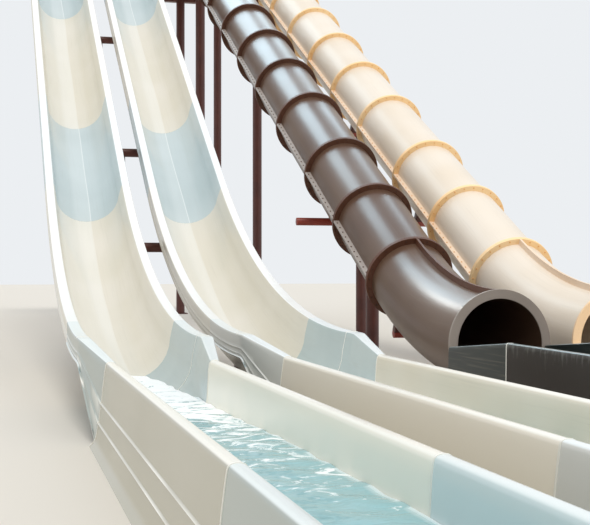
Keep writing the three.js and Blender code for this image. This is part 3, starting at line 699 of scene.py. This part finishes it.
FOOTLESS_HALF = [(TRANSITION_FOOT, 0, 0), *RUNOUT_HALF[1:]]
DROP_LINE, RUNOUT_LINE = whole(rounded(DROP_HALF)), whole(rounded(RUNOUT_HALF))


def transition_line(share):
    """The lane's section part of the way from the drop (0) to the run-out (1). The flat rim stays sharp."""
    corners = []
    for k, (a, b) in enumerate(zip(DROP_HALF, FOOTLESS_HALF)):
        across, rise = a[0] + (b[0] - a[0]) * share, (a[1] + DROP_RIM) * (1 - share) + b[1] * share
        corners.append((across, rise, a[2] if k in RIM_CORNERS else a[2] + (b[2] - a[2]) * share))
    return whole(rounded(corners))


def level_row(slide, y, line, lift=0.0):
    """A section's points at a level place of a slide."""
    return [Vector((slide.x + p.x, y, lift + p.y)) for p in line]


def mark_ribs(piece):
    """Marks the ribs along a lane's outer walls in an attribute: 1 on their ridge, fading to 0 beside them."""
    values = []
    for vertex in piece.data.attributes["flow"].data:
        across, run, rise = vertex.vector
        share = min(max(-run / TRANSITION, 0), 1)
        closest = min(
            abs(rise - (1 - share) * high - share * (low - DROP_RIM))
            for high, low in zip(DROP_RIBS, RUNOUT_RIBS)
        )
        values.append(max(0, 1 - closest / RIB_HALF_WIDTH) if abs(across) > OUTER_WALL else 0)
    piece.data.attributes.new("ridge", "FLOAT", "POINT").data.foreach_set("value", values)
    return piece


def lane_section(name, start, end, line):
    """A section of a drop along arcs and straights, with a hair of a joint at both ends."""
    start, end = start + JOINT_GAP, end - JOINT_GAP
    piece = draw(name, [LANE_A.point(start, p.x, p.y) for p in line])
    sweep(LANE_A, start, end)
    return finish_sheet(piece, LANE_A)


def sheet_through(name, rows):
    """A sheet through rows of points. Each vertex remembers its number in the row."""
    piece = draw(name, rows[0])
    leave()
    mark = piece.data.attributes.new("row_number", "INT", "POINT")
    mark.data.foreach_set("value", list(range(len(rows[0]))))
    for row in rows[1:]:
        bpy.ops.object.mode_set(mode="EDIT")
        pull(0.05)
        leave()
        numbers = piece.data.attributes["row_number"].data
        for vertex in piece.data.vertices:
            if vertex.select:
                vertex.co = row[numbers[vertex.index].value]
    piece.data.attributes.remove(piece.data.attributes["row_number"])
    bpy.ops.object.mode_set(mode="EDIT")
    return piece


TRANSITION_SHAPE = [
    (JOINT_GAP - TRANSITION, 1), (-0.91, 0.85), (-0.78, 0.7), (-0.65, 0.55), (-0.52, 0.402), (-0.44, 0.306),
    (-0.37, 0.222), (-0.31, 0.15), (-0.27, 0.103), (-0.24, 0.068), (-0.21, 0.038), (-0.18, 0.017),
    (-0.14, 0.005), (-0.07, 0.001), (0.0, 0.0),
]


def lane_transition(name):
    """From the run-out's end up through the rounded corner, then on along the foot of the long bottom curve."""
    piece = sheet_through(
        name, [level_row(LANE_A, LANE_A.y + run, transition_line(share)) for run, share in TRANSITION_SHAPE]
    )
    sweep(LANE_A, 0, FIRST_JOINT - JOINT_GAP)
    return mark_ribs(finish_sheet(piece, LANE_A))


def end_wall(slide, front, line):
    """The flat wall that closes a trough's front end, 20 mm thick, up to the top of the rims."""
    top = max(p.y for p in line)
    side = line[: next(k for k, p in enumerate(line) if p.y > top - 0.0005) + 1]
    outline = [Vector((slide.x + p.x * 0.995, front, p.y)) for p in side]
    outline += [Vector((2 * slide.x - p.x, front, p.z)) for p in reversed(outline)]
    wall = draw("end_wall", outline, filled=True)
    pull(0.020)
    close_up(wall)
    return write_flow(soften(wall, 0.003), slide)


def runout(name, index):
    """One straight run-out section. Number 0 is the closed one at the front."""
    start = row_y(index * RUNOUT_SECTION)
    piece = draw(name, level_row(LANE_A, start + RUNOUT_GAP, RUNOUT_LINE))
    pull(RUNOUT_SECTION - 2 * RUNOUT_GAP)
    mark_ribs(finish_sheet(piece, LANE_A))
    return piece if index else join(name, [piece, end_wall(LANE_A, start, RUNOUT_LINE)])


def seam_bead(name, slide, y, line, width=0.010):
    """Pale sealant pressed out along a joint: a thin band over the rims and down both sides."""
    piece = draw(name, level_row(slide, y - width / 2, line))
    pull(width)
    return finish_sheet(piece, slide, thickness=0.0035, offset=0.6)


def joint_flange(name, run):
    """The bolted flange under a joint of the drop, one thick plate round the floor, and its bolts."""
    centre, edge, thick, bolt_circle = Vector((0, FLOOR_CENTRE)), 0.36, 0.020, 0.395
    slope = LANE_A.place(run)[2]
    run -= thick / 2
    trough = [p for p in DROP_LINE if abs(p.x) < edge and p.y < FLOOR_CENTRE - 0.010]
    outer, inner = ([p + (p - centre).normalized() * reach for p in trough] for reach in (0.052, 0.0105))
    piece = draw(name, [LANE_A.point(run, p.x, p.y) for p in outer + inner[::-1]], filled=True)
    pull(thick, slope)
    close_up(piece)
    bolts = []
    for k in range(9):
        turn = math.radians(18 + 18 * k)
        place = LANE_A.point(run, bolt_circle * math.cos(turn), FLOOR_CENTRE - bolt_circle * math.sin(turn))
        bolts.append(bolt("flange_bolt", place, (0, -math.cos(slope), -math.sin(slope))))
    return write_flow(smooth(piece, 30), LANE_A), join(name + "_bolts", bolts)


SECTION_LOOKS = [
    ("curve", CREAM_LANE, "cream_gelcoat"), ("drop_low", PALE_BLUE, "pale_blue_gelcoat"),
    ("drop_middle", CREAM_LANE, "cream_gelcoat"), ("drop_high", PALE_BLUE, "pale_blue_gelcoat"),
    ("crest", CREAM_LANE, "cream_gelcoat"),
]
for (part, *look), start, end in zip(SECTION_LOOKS, LANE_JOINTS, LANE_JOINTS[1:]):
    lane_piece(lane_section(f"lane_a_{part}_shell", start, end, DROP_LINE), *look, f"lane_a_{part}")

deck_below = DECK_TOP - LANE_A.place(LANE_A.end)[1] + 0.0004
TUB_HALF = [(0.530, deck_below, 0), (0.518, -0.370, 0.01), (0.508, -0.190, 0.02), *DROP_HALF[9:]]
tub = lane_section("lane_a_start_tub_shell", LANE_A.end, LANE_A.end + LANE_TUB, whole(rounded(TUB_HALF)))
lane_piece(tub, PALE_BLUE, "pale_blue_gelcoat", "lane_a_start_tub")
lane_piece(lane_transition("lane_a_transition_shell"), BLUE_GREY, "blue_grey_gelcoat", "lane_a_transition")
for index in range(RUNOUT_COUNT):
    node = f"lane_a_runout_{RUNOUT_COUNT - index}"
    look = (BLUE_GREY, "blue_grey_gelcoat") if index == 1 else (BEIGE, "beige_gelcoat")
    lane_piece(runout(node + "_shell", index), *look, node)
for index in range(1, RUNOUT_COUNT + 1):
    bead = seam_bead(f"lane_a_seam_{index}", LANE_A, row_y(index * RUNOUT_SECTION), RUNOUT_LINE)
    lane_piece(bead, SEALANT, "cream_gelcoat")
foot_line = [Vector((p.x, p.y + DROP_RIM)) for p in DROP_LINE if abs(p.x) < OUTER_WALL or p.y > -0.01]
lane_piece(seam_bead("lane_a_seam_foot", LANE_A, LANE_A.y, foot_line), SEALANT, "cream_gelcoat")
for number, run in enumerate(LANE_JOINTS[1:5], 1):
    flange, bolts = joint_flange(f"lane_a_joint_{number}", run)
    lane_piece(flange, CREAM_LANE, "cream_gelcoat")
    lane_piece(bolts, ZINC, "grey_steel")

# Enclosed tubes: modelled on the brown one and copied to the cream one

RING_HALF_WIDTH, RING_BOLTS, BOLT_CIRCLE, BOLT_STEP, BOLT_SIZE = 0.024, 24, 0.453, 0.12, 0.006
# (distance along the tube, radius). Each ring is two plates back to back, so that a fine groove runs round it.
RING_SECTION = [
    (-0.024, 0.4145), (-0.024, 0.4765), (-0.0222, 0.4795), (-0.0030, 0.480), (-0.0008, 0.4785), (0, 0.4765),
    (0.0008, 0.4785), (0.0030, 0.480), (0.0222, 0.4795), (0.024, 0.4765), (0.024, 0.4145),
]
MOUTH_SECTION = [
    (0, 0.400), (0, 0.4765), (0.003, 0.480), (0.023, 0.480), (0.026, 0.4765), (0.026, 0.412), (0.021, 0.4095),
    (0.010, 0.399), (0.004, 0.396),
]


def tube_axis(run):
    """Centre, direction up the tube and direction square above it."""
    slope = BROWN.place(run)[2]
    c, s = math.cos(slope), math.sin(slope)
    return BROWN.point(run), Vector((0, c, s)), Vector((0, -s, c))


def tube_skin(name, start, end):
    """The round shell of a run of tube."""
    deselect()
    bpy.ops.mesh.primitive_circle_add(
        vertices=TUBE_SIDES, radius=TUBE_SKIN, location=BROWN.point(start),
        rotation=(BROWN.place(start)[2] - math.pi / 2, 0, 0),
    )
    piece = made(name)
    edit()
    sweep(BROWN, start, end)
    close_up(piece)
    apply(piece, "SOLIDIFY", thickness=SHELL, offset=-1)
    return write_flow(smooth(piece), BROWN)


def spun_ring(name, run, section, steps=72):
    """A ring about the tube, spun from its section."""
    centre, along, above = tube_axis(run)
    piece = draw(name, [centre + along * a + above * r for a, r in section], closed=True)
    bpy.ops.mesh.spin(steps=steps, angle=2 * math.pi, center=centre, axis=along)
    return write_flow(smooth(close_up(piece), 30), BROWN)


def ring_bolts(name, run, facing):
    """Bolts round one face of a ring, between the side flanges."""
    centre, along, above = tube_axis(run)
    place = centre + along * (RING_HALF_WIDTH * facing) + above * BOLT_CIRCLE
    first = bolt(name, place, along * facing, BOLT_SIZE)
    copies = RING_BOLTS - 1
    angle = 2 * math.pi * copies / RING_BOLTS
    edit()
    bpy.ops.mesh.spin(steps=copies, angle=angle, center=centre, axis=along, dupli=True)
    leave()
    return first


def flange(name, start, end, crown=False):
    """The long flanges of a half shell joint, each two plates, one against the other.

    They run on both sides of the tube or, where it is split down its middle, along its crown and under it.
    """
    plates, inner, outer, edge = [], TUBE_SKIN - 0.004, SEAM_FLANGE, 0.002
    for side in (-1, 1):
        for half in (-1, 1):
            low, high = sorted((half * 0.0005, half * FLANGE_PLATE))
            if crown:
                reach = outer - 0.001
                shape = [(low, side * inner), (low, side * reach), (high, side * reach), (high, side * inner)]
            else:
                shape = [
                    (side * across, rise) for across, rise in (
                        (inner, low), (outer - edge, low), (outer, low + edge), (outer, high - edge),
                        (outer - edge, high), (inner, high),
                    )
                ]
            plate = draw(name, [BROWN.point(start, *corner) for corner in shape], filled=True)
            sweep(BROWN, start, end)
            plates.append(close_up(plate))
    return write_flow(smooth(join(name, plates), 30), BROWN)


def flange_bolts(name, start, length):
    """Bolts along both side flanges of a straight section, heads above and nuts below."""
    count = int((length - 0.12) / BOLT_STEP) + 1
    margin = (length - (count - 1) * BOLT_STEP) / 2
    _, along, above = tube_axis(start)
    rows = []
    for side in (-1, 1):
        for facing in (-1, 1):
            place = BROWN.point(start + margin, side * BOLT_CIRCLE, facing * FLANGE_PLATE)
            row = bolt(name, place, above * facing, BOLT_SIZE)
            apply(
                row, "ARRAY", count=count, use_relative_offset=False, use_constant_offset=True,
                constant_offset_displace=along * BOLT_STEP,
            )
            rows.append(row)
    return join(name, rows)


TUBE_SLOTS = ("brown_gelcoat", "warm_cream_gelcoat")
low_end = TUBE_JOINTS[LOW_SECTIONS]
for part, start, end, halves in (
    ("curve", 0.012, BROWN.arc, ("_left", "_right")),
    ("low", BROWN.arc, low_end, ("_upper", "_lower")),
    ("high", low_end, BROWN.crest, ("_upper", "_lower")),
    ("crest", BROWN.crest, BROWN.end, ("",)),
):
    skin = tube_skin(f"brown_tube_{part}_shell", start + JOINT_GAP, end - JOINT_GAP)
    tube_piece(skin, SHELLS, TUBE_SLOTS, *(f"brown_tube_{part}{half}" for half in halves))

_, up_the_tube, _ = tube_axis(BROWN.arc)
top_ring = BROWN.end - RING_HALF_WIDTH


def along_joints(first):
    """The first joint's piece and its copies at all the others."""
    moves = [up_the_tube * (joint - BROWN.arc) for joint in TUBE_JOINTS[1:]]
    return [first, *(copy_moved(first, first.name, move) for move in moves)]


rings = along_joints(spun_ring("brown_tube_rings", BROWN.arc, RING_SECTION))
rings.append(spun_ring("brown_top_ring", top_ring, RING_SECTION))
tube_piece(join("brown_tube_rings", rings), RINGS, TUBE_SLOTS)
tube_piece(spun_ring("brown_mouth_ring", 0, MOUTH_SECTION, steps=96), MOUTHS, TUBE_SLOTS)
bolts = along_joints(ring_bolts("brown_ring_bolts", BROWN.arc, -1))
bolts.append(ring_bolts("brown_top_ring_bolts", top_ring, -1))
bolts += along_joints(ring_bolts("brown_ring_bolts", BROWN.arc, 1))
tube_piece(join("brown_ring_bolts", bolts), FIXINGS, "grey_steel")

for part, first, last in (("low", 0, LOW_SECTIONS), ("high", LOW_SECTIONS, len(TUBE_SECTIONS))):
    plates, bolts = [], []
    for start, length in zip(TUBE_JOINTS[first:last], TUBE_SECTIONS[first:last]):
        end = start + length - RING_HALF_WIDTH
        plates.append(flange(f"brown_{part}_flanges", start + RING_HALF_WIDTH, end))
        bolts.append(flange_bolts(f"brown_{part}_flange_bolts", start, length))
    tube_piece(join(f"brown_{part}_flanges", plates), FLANGES, TUBE_SLOTS)
    tube_piece(join(f"brown_{part}_flange_bolts", bolts), FIXINGS, "grey_steel")
plates = flange("brown_crest_flanges", BROWN.crest + RING_HALF_WIDTH, top_ring - RING_HALF_WIDTH)
tube_piece(plates, FLANGES, TUBE_SLOTS)
plates = flange("brown_curve_flanges", 0.026, BROWN.arc - RING_HALF_WIDTH, crown=True)
tube_piece(plates, (RINGS[0], FLANGES[1]), TUBE_SLOTS)

# Exit troughs under the mouths: a round floor, rims with a rounded top edge, and sides down to the ground

EXIT_BORE, EXIT_RIM, EXIT_RIM_LOW = 0.421, 0.600, 0.498
EXIT_TURNS = [math.radians(14 + 76 * k / 12) for k in range(13)]


def exit_line(rim=EXIT_RIM, centre=MOUTH_Z, ground=0.0):
    """The whole section of an exit trough, left to right."""
    return whole(rounded([
        (0.504, ground, 0), (0.490, ground + 0.036, 0.02), (0.485, rim - 0.030, 0.01),
        (0.480, rim - 0.0005, 0.016), (0.4235, rim - 0.0005, 0.014), (EXIT_BORE, rim - 0.034, 0.008),
        *((EXIT_BORE * math.cos(turn), centre - EXIT_BORE * math.sin(turn), 0) for turn in EXIT_TURNS),
    ]))


def exit_section(name, start, end, rim_end=EXIT_RIM):
    """A section of exit trough between two distances from the mouth. Its rim may change from end to end."""
    rows = [level_row(BROWN, BROWN.y + at, exit_line(rim)) for at, rim in ((start, EXIT_RIM), (end, rim_end))]
    return finish_sheet(sheet_through(name, rows), BROWN)


starter = exit_section("brown_exit_starter_shell", -STARTER + JOINT_GAP, -JOINT_GAP, EXIT_RIM_LOW)
TROUGH_SLOTS = ("dark_trough", "warm_cream_gelcoat")
tube_piece(starter, (DARK_STARTER, SHELLS[1]), TROUGH_SLOTS, "brown_exit_starter")
tube_piece(seam_bead("brown_exit_seam", BROWN, BROWN.y - STARTER, exit_line()), SEALANT, "warm_cream_gelcoat")
for number in (1, 2):
    front = -STARTER - number * EXIT_SECTION
    name = f"brown_exit_{number}_shell"
    section = exit_section(name, front + RUNOUT_GAP, front + EXIT_SECTION - RUNOUT_GAP)
    if number == 2:
        section = join(name, [section, end_wall(BROWN, BROWN.y + front, exit_line())])
    tube_piece(section, (DARK_TROUGH, SHELLS[1]), TROUGH_SLOTS, f"brown_exit_{number}")

# The open start tub on the deck behind the crest
end_y, end_z, _ = BROWN.place(BROWN.end)
tub_line = exit_line(0.070, 0, DECK_TOP - end_z + 0.0004)
tub = draw("brown_start_tub_shell", level_row(BROWN, BROWN.y + end_y + JOINT_GAP, tub_line, end_z))
pull(TUBE_TUB - 2 * JOINT_GAP)
tube_piece(finish_sheet(tub, BROWN), SHELLS, TUBE_SLOTS, "brown_start_tub")

# Steelwork: columns, beams, deck and rails

RED_STEEL = painted_steel("red_painted_steel", "#4A231C", "#5C2E25")
RED_BEAM = painted_steel("bright_red_painted_steel", "#8A3527", "#9A4031")
GREY_STEEL = painted_steel("grey_painted_steel", "#8FA9AF", "#A3B8BC", wear=0.15)
DECKING = ribbed_boards("ribbed_deck_boards")
COLUMN, TOWER_COLUMN, PLATE, PLATE_THICK, ANCHOR_INSET = 0.085, 0.110, 0.340, 0.020, 0.045


def column(name, top, radius):
    """A pipe column on its base plate, with four anchor bolts."""
    x, y, _ = top
    reach = PLATE / 2 - ANCHOR_INSET
    parts = [
        pipe(name, (x, y, PLATE_THICK / 2), top, radius, sides=36),
        block(name, (PLATE, PLATE, PLATE_THICK), (x, y, PLATE_THICK / 2)),
    ]
    for right in (-reach, reach):
        for ahead in (-reach, reach):
            parts.append(bolt(name, (x + right, y + ahead, PLATE_THICK), (0, 0, 1), size=0.016))
    return parts


def lane_bent(name, run):
    """One column between the lanes carries a beam with a stub and a saddle block up to each lane."""
    back = LANE_B_SHIFT / math.cos(LANE_A.place(run)[2])
    saddle, under = 0.120, FLOOR_DEPTH - FLOOR_CENTRE + SOLID_SHELL + TOUCH
    centres = []
    for lane, at in ((LANE_A, run), (LANE_B, run - back)):
        centres.append((lane.point(at, 0, -under - saddle / 2), lane.place(at)[2]))
    beam_z = min(centre.z for centre, _ in centres) - 0.120
    ends = [Vector((centre.x, centre.y, beam_z)) for centre, _ in centres]
    parts = [pipe(name, *ends, 0.060, edge=0.004)]
    for (centre, tip), end in zip(centres, ends):
        parts.append(block(name, (0.220, 0.130, saddle), centre, slope=tip, edge=0.004))
        parts.append(pipe(name, end, centre, 0.055))
    return smooth(join(name, parts + column(name, (ends[0] + ends[1]) / 2, COLUMN)))


def tube_bent(name, run, post_x, left_reach):
    """One column carries a beam with a stand-off up to the ring of each tube."""
    slope = BROWN.place(run)[2]
    stand_off, under, beam_under = 0.185, RING + TOUCH, 0.210
    parts, ends = [], []
    for tube in (BROWN, CREAM):
        parts.append(block(name, (0.130, 0.078, stand_off), tube.point(run, 0, -under - stand_off / 2), slope))
        ends.append(tube.point(run, 0, -under - beam_under))
    top = Vector((post_x, ends[0].y, ends[0].z))
    ends[0].x -= left_reach
    ends[1].x += 0.5
    beam = smooth(pipe(name.replace("steel", "beam"), *ends, 0.050, edge=0.004))
    dress(beam, RED_BEAM, "red_steel")
    return smooth(join(name, parts + column(name, top, COLUMN)))


def tower_frame(name, station):
    """Two heavy columns under one cap beam."""
    cap, deck_frame, y = 0.160, 0.200, row_y(station)
    middle = DECK_TOP - 0.040 - deck_frame - TOUCH - cap / 2
    parts = [block(name, (DECK_WIDTH - 0.08, cap, cap), (0, y, middle), edge=0.006)]
    for x in (-1.33, 1.5):
        parts += column(name, (x, y, middle), TOWER_COLUMN)
    return smooth(join(name, parts))


first, second, *middle, last = LANE_JOINTS[:5]
LANE_SUPPORTS = [first + (second - first) / 5, second, *middle, last - 0.2]
for number, run in enumerate(LANE_SUPPORTS, 1):
    name = f"lane_bent_{number}"
    dress(lane_bent(name + "_steel", run), RED_STEEL, "red_steel", name)
TUBE_SUPPORTS = [(0, 1.542, 0.06), (2, 1.542, 0.5), (4, 2.310, 0.06), (7, 1.542, 0.06), (10, 1.542, 0.06)]
for number, (joint, *sizes) in enumerate(TUBE_SUPPORTS, 1):
    name = f"tube_bent_{number}"
    dress(tube_bent(name + "_steel", TUBE_JOINTS[joint], *sizes), RED_STEEL, "red_steel", name)
for side, station in (("front", DECK_FRONT + 0.25), ("back", LENGTH - 0.25)):
    name = f"tower_frame_{side}"
    dress(tower_frame(name + "_steel", station), RED_STEEL, "red_steel", name)
for node, finish in (("deck_frame", RED_STEEL), ("deck_floor", DECKING)):
    solid = frame["nodes"][node]
    solid.data.materials.clear()
    solid.data.materials.append(finish)

RAIL_HEIGHT, RAIL, MIDDLE_RAIL, RAIL_FOOT, RAIL_INSET = 1.1, 0.024, 0.016, 0.090, 0.060


def guard_rail(name, start, end, bays):
    """Posts with foot plates, a handrail and two thinner rails."""
    start, end, lift = Vector(start), Vector(end), Vector((0, 0, RAIL_HEIGHT))
    parts = []
    for k in range(bays + 1):
        foot = start.lerp(end, k / bays)
        parts.append(pipe(name, foot, foot + lift, RAIL, sides=16))
        parts.append(block(name, (RAIL_FOOT, RAIL_FOOT, 0.010), foot + Vector((0, 0, 0.0053)), edge=0.002))
    for share, radius in ((1, RAIL), (0.66, MIDDLE_RAIL), (0.33, MIDDLE_RAIL)):
        parts.append(pipe(name, start + lift * share, end + lift * share, radius, sides=16, edge=0.003))
    return smooth(join(name, parts))


rail_x = DECK_WIDTH / 2 - RAIL_INSET
rail_front, rail_back = row_y(DECK_FRONT + RAIL_INSET), row_y(LENGTH - RAIL_INSET)
for side, sign in (("left", -1), ("right", 1)):
    for name, start, end, bays in (
        (f"rail_{side}", (rail_x, rail_front), (rail_x, rail_back), 3),
        (f"rail_back_{side}", (rail_x - 0.15, rail_back), (0.5, rail_back), 2),
    ):
        start, end = ((sign * x, y, DECK_TOP) for x, y in (start, end))
        dress(guard_rail(name + "_pipes", start, end, bays), GREY_STEEL, "grey_steel", name)

# Still water in the run-outs


def run_out_water(name):
    """Clear turquoise water: small waves, and foam that thins out along the run-out."""
    material, add, surface = new_finish(name)
    flow = add("Attribute", {"attribute_name": "flow"}).outputs["Vector"]
    _, run, _ = add("SeparateXYZ", {}, {0: flow}).outputs
    # Foam covers the water at the slide's foot and is torn into lace after 3 m, in strands that lie across
    nearness = add("MapRange", {1: -6.5, 2: -0.2}, {0: run})
    wide = add("Mapping", {"Scale": (6.0, 7.0, 1.0)}, {"Vector": flow})
    torn = {"Scale": 1.0, "Detail": 8.0, "Roughness": 0.62, "Distortion": 1.2}
    lace = add("TexNoise", torn, {"Vector": wide})
    limit = add("MapRange", {3: 0.70, 4: 0.32}, {0: nearness})
    over = add("Math", {"operation": "SUBTRACT"}, {0: lace, 1: limit})
    froth = add("MapRange", {2: 0.10}, {0: over})
    # A white edge where the waves lick the walls
    edge = add("Attribute", {"attribute_name": "edge"}).outputs["Fac"]
    foam = add("Math", {"operation": "MAXIMUM"}, {0: froth, 1: edge})
    tint = add("Mix", {**COLOUR_MIX, 6: from_hex("#98CBD2"), 7: from_hex("#FBFEFE")}, {0: foam})
    shine = add("MapRange", {3: 0.04, 4: 0.6}, {0: foam})
    solid = add("MapRange", {3: 0.82}, {0: foam})
    chop = add("Mapping", {"Scale": (5.0, 9.0, 1.0)}, {"Vector": flow})
    ripples = add("TexNoise", {"Scale": 1.0, "Detail": 3.0, "Distortion": 0.8}, {"Vector": chop})
    bump = add("Bump", {"Strength": 0.45, "Distance": 0.02}, {"Height": ripples})
    link(surface, {"Base Color": tint, "Alpha": solid, "Roughness": shine, "Normal": bump})
    surface.inputs["IOR"].default_value = 1.333
    return material


def width_at(line, height):
    """Half the width of a trough's inside at a height above the ground."""
    inner = [p for p in line if p.x >= 0 and p.x < 0.40]
    for high, low in zip(inner[::-1], inner[-2::-1]):
        if (high.y - height) * (low.y - height) <= 0 and high.y != low.y:
            return low.x + (high.x - low.x) * (height - low.y) / (high.y - low.y)
    return 0.3


STILL_LEVEL, DIP, DIP_PLACE, DIP_LENGTH = 0.345, 0.105, -2.2, 0.9


def water_level(run):
    """The stirred water stands a little higher away from the slide's foot."""
    return STILL_LEVEL - DIP / (1 + math.exp((DIP_PLACE - run) / DIP_LENGTH))


def water_sheet(name, slide, reach=1.45):
    """The water from the closed end to where it meets the bottom curve."""
    deselect()
    bpy.ops.mesh.primitive_grid_add(x_subdivisions=14, y_subdivisions=300, size=1)
    sheet = made(name)
    start = 0.021 - DROP_START
    widest = []
    for vertex in sheet.data.vertices:
        across = vertex.co.x
        run = start + (vertex.co.y + 0.5) * (reach - start)
        wave = math.sin(across * 9 + run * 5.1) * math.sin(run * 8.3 + across * 4) * 0.006
        level = water_level(run) + wave + math.sin(run * 21.0 + across * 5) * 0.002
        if run < -TRANSITION:
            wide = width_at(RUNOUT_LINE, level)
        elif run < 0:
            wide = width_at(transition_line(-run / TRANSITION), level)
        else:
            depth = level - (slide.place(run)[1] + FLOOR_CENTRE - FLOOR_DEPTH)
            wide = math.sqrt(max(FLOOR_DEPTH ** 2 - (FLOOR_DEPTH - depth) ** 2, 0.0001)) if depth > 0 else 0.02
        vertex.co = (slide.x + across * 2 * (wide - 0.001), slide.y + run, level)
        widest.append(wide * 0.97)
    write_flow(smooth(sheet, 60), slide)
    sheet.data.attributes.new("edge", "FLOAT", "POINT").data.foreach_set("value", [
        (0.75 if abs(math.sin(vertex.co.y * 7.3)) > 0.3 else 0.1) if abs(vertex.co.x - slide.x) > wide else 0
        for vertex, wide in zip(sheet.data.vertices, widest)
    ])
    return sheet


WATER = run_out_water("stirred_water")
for name, slide in (("lane_a_water", LANE_A), ("lane_b_water", LANE_B)):
    dress(water_sheet(name, slide), WATER, "pale_blue_gelcoat")

# Studio

deselect()
bpy.ops.mesh.primitive_plane_add(size=160, location=(0, 0, 0))
floor = made("floor")
floor_paint, _, floor_surface = new_finish("pale_studio_floor")
floor_surface.inputs["Base Color"].default_value = from_hex("#D9D4CB")
floor_surface.inputs["Roughness"].default_value = 0.9
floor.data.materials.append(floor_paint)
floor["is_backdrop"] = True

world = bpy.data.worlds.new("soft_sky")
world.use_nodes = True
sky = world.node_tree.nodes["Background"].inputs
sky["Color"].default_value, sky["Strength"].default_value = from_hex("#EAEDF0"), 1.02
bpy.context.scene.world = world
bpy.ops.object.light_add(type="SUN", rotation=(math.radians(30), math.radians(-6), math.radians(4)))
sun = bpy.context.object
sun.data.energy, sun.data.angle, sun.data.color = 1.35, math.radians(20), (1.0, 0.97, 0.92)


def tube_lamp(name, kind, tube, place, energy, colour):
    """A lamp whose light falls on one tube alone."""
    bpy.ops.object.light_add(type=kind, location=place)
    lamp = bpy.context.object
    lamp.name = lamp.data.name = name
    lamp.data.energy, lamp.data.color = energy, colour
    lit = bpy.data.collections.new(name + "_shines_on")
    for solid in bpy.context.scene.objects:
        if solid.type == "MESH" and solid.name.startswith(tube):
            lit.objects.link(solid)
    lamp.light_linking.receiver_collection = lit
    return lamp


# Long soft lights that draw a band of sheen along the tubes. Only their light is seen.
for name, tube, place, target, size, energy in (
    ("sheen_left", "brown_", (-2.4, 16.4, 18.5), (1, 1.5, 3.5), (7, 16), 2300),
    ("sheen_right", "brown_", (8, 17, 17.6), (1, 1.5, 3.5), (4, 12), 700),
    ("sheen_cream", "cream_", (-4.0, 16.4, 18.5), (2, 1.5, 3.5), (5, 16), 420),
):
    lamp = tube_lamp(name, "AREA", tube, place, energy, (0.66, 0.88, 1.0))
    lamp.data.shape = "RECTANGLE"
    lamp.data.size, lamp.data.size_y = size
    toward = (Vector(target) - Vector(place)).normalized()
    uphill = Vector((0, math.cos(BROWN.slope), math.sin(BROWN.slope)))
    side = uphill.cross(-toward).normalized()
    lamp.rotation_euler = Matrix((side, -toward.cross(side), -toward)).transposed().to_euler()
    lamp.visible_camera = False

# The small warm glint on the brown tube's bottom curve
glint = tube_lamp("glint", "SPOT", "brown_", (-0.076, 4.653, 5.387), 260, (1.0, 0.95, 0.86))
glint.data.shadow_soft_size, glint.data.spot_size, glint.data.spot_blend = 0.3, math.radians(7), 0.8
spot = Vector((0.738, -3.082, 0.858))
glint.rotation_euler = (spot - glint.location).to_track_quat("-Z", "Y").to_euler()

new_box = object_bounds()
[[list(map(float, corner)) for corner in box] for box in (cad_box, new_box)]
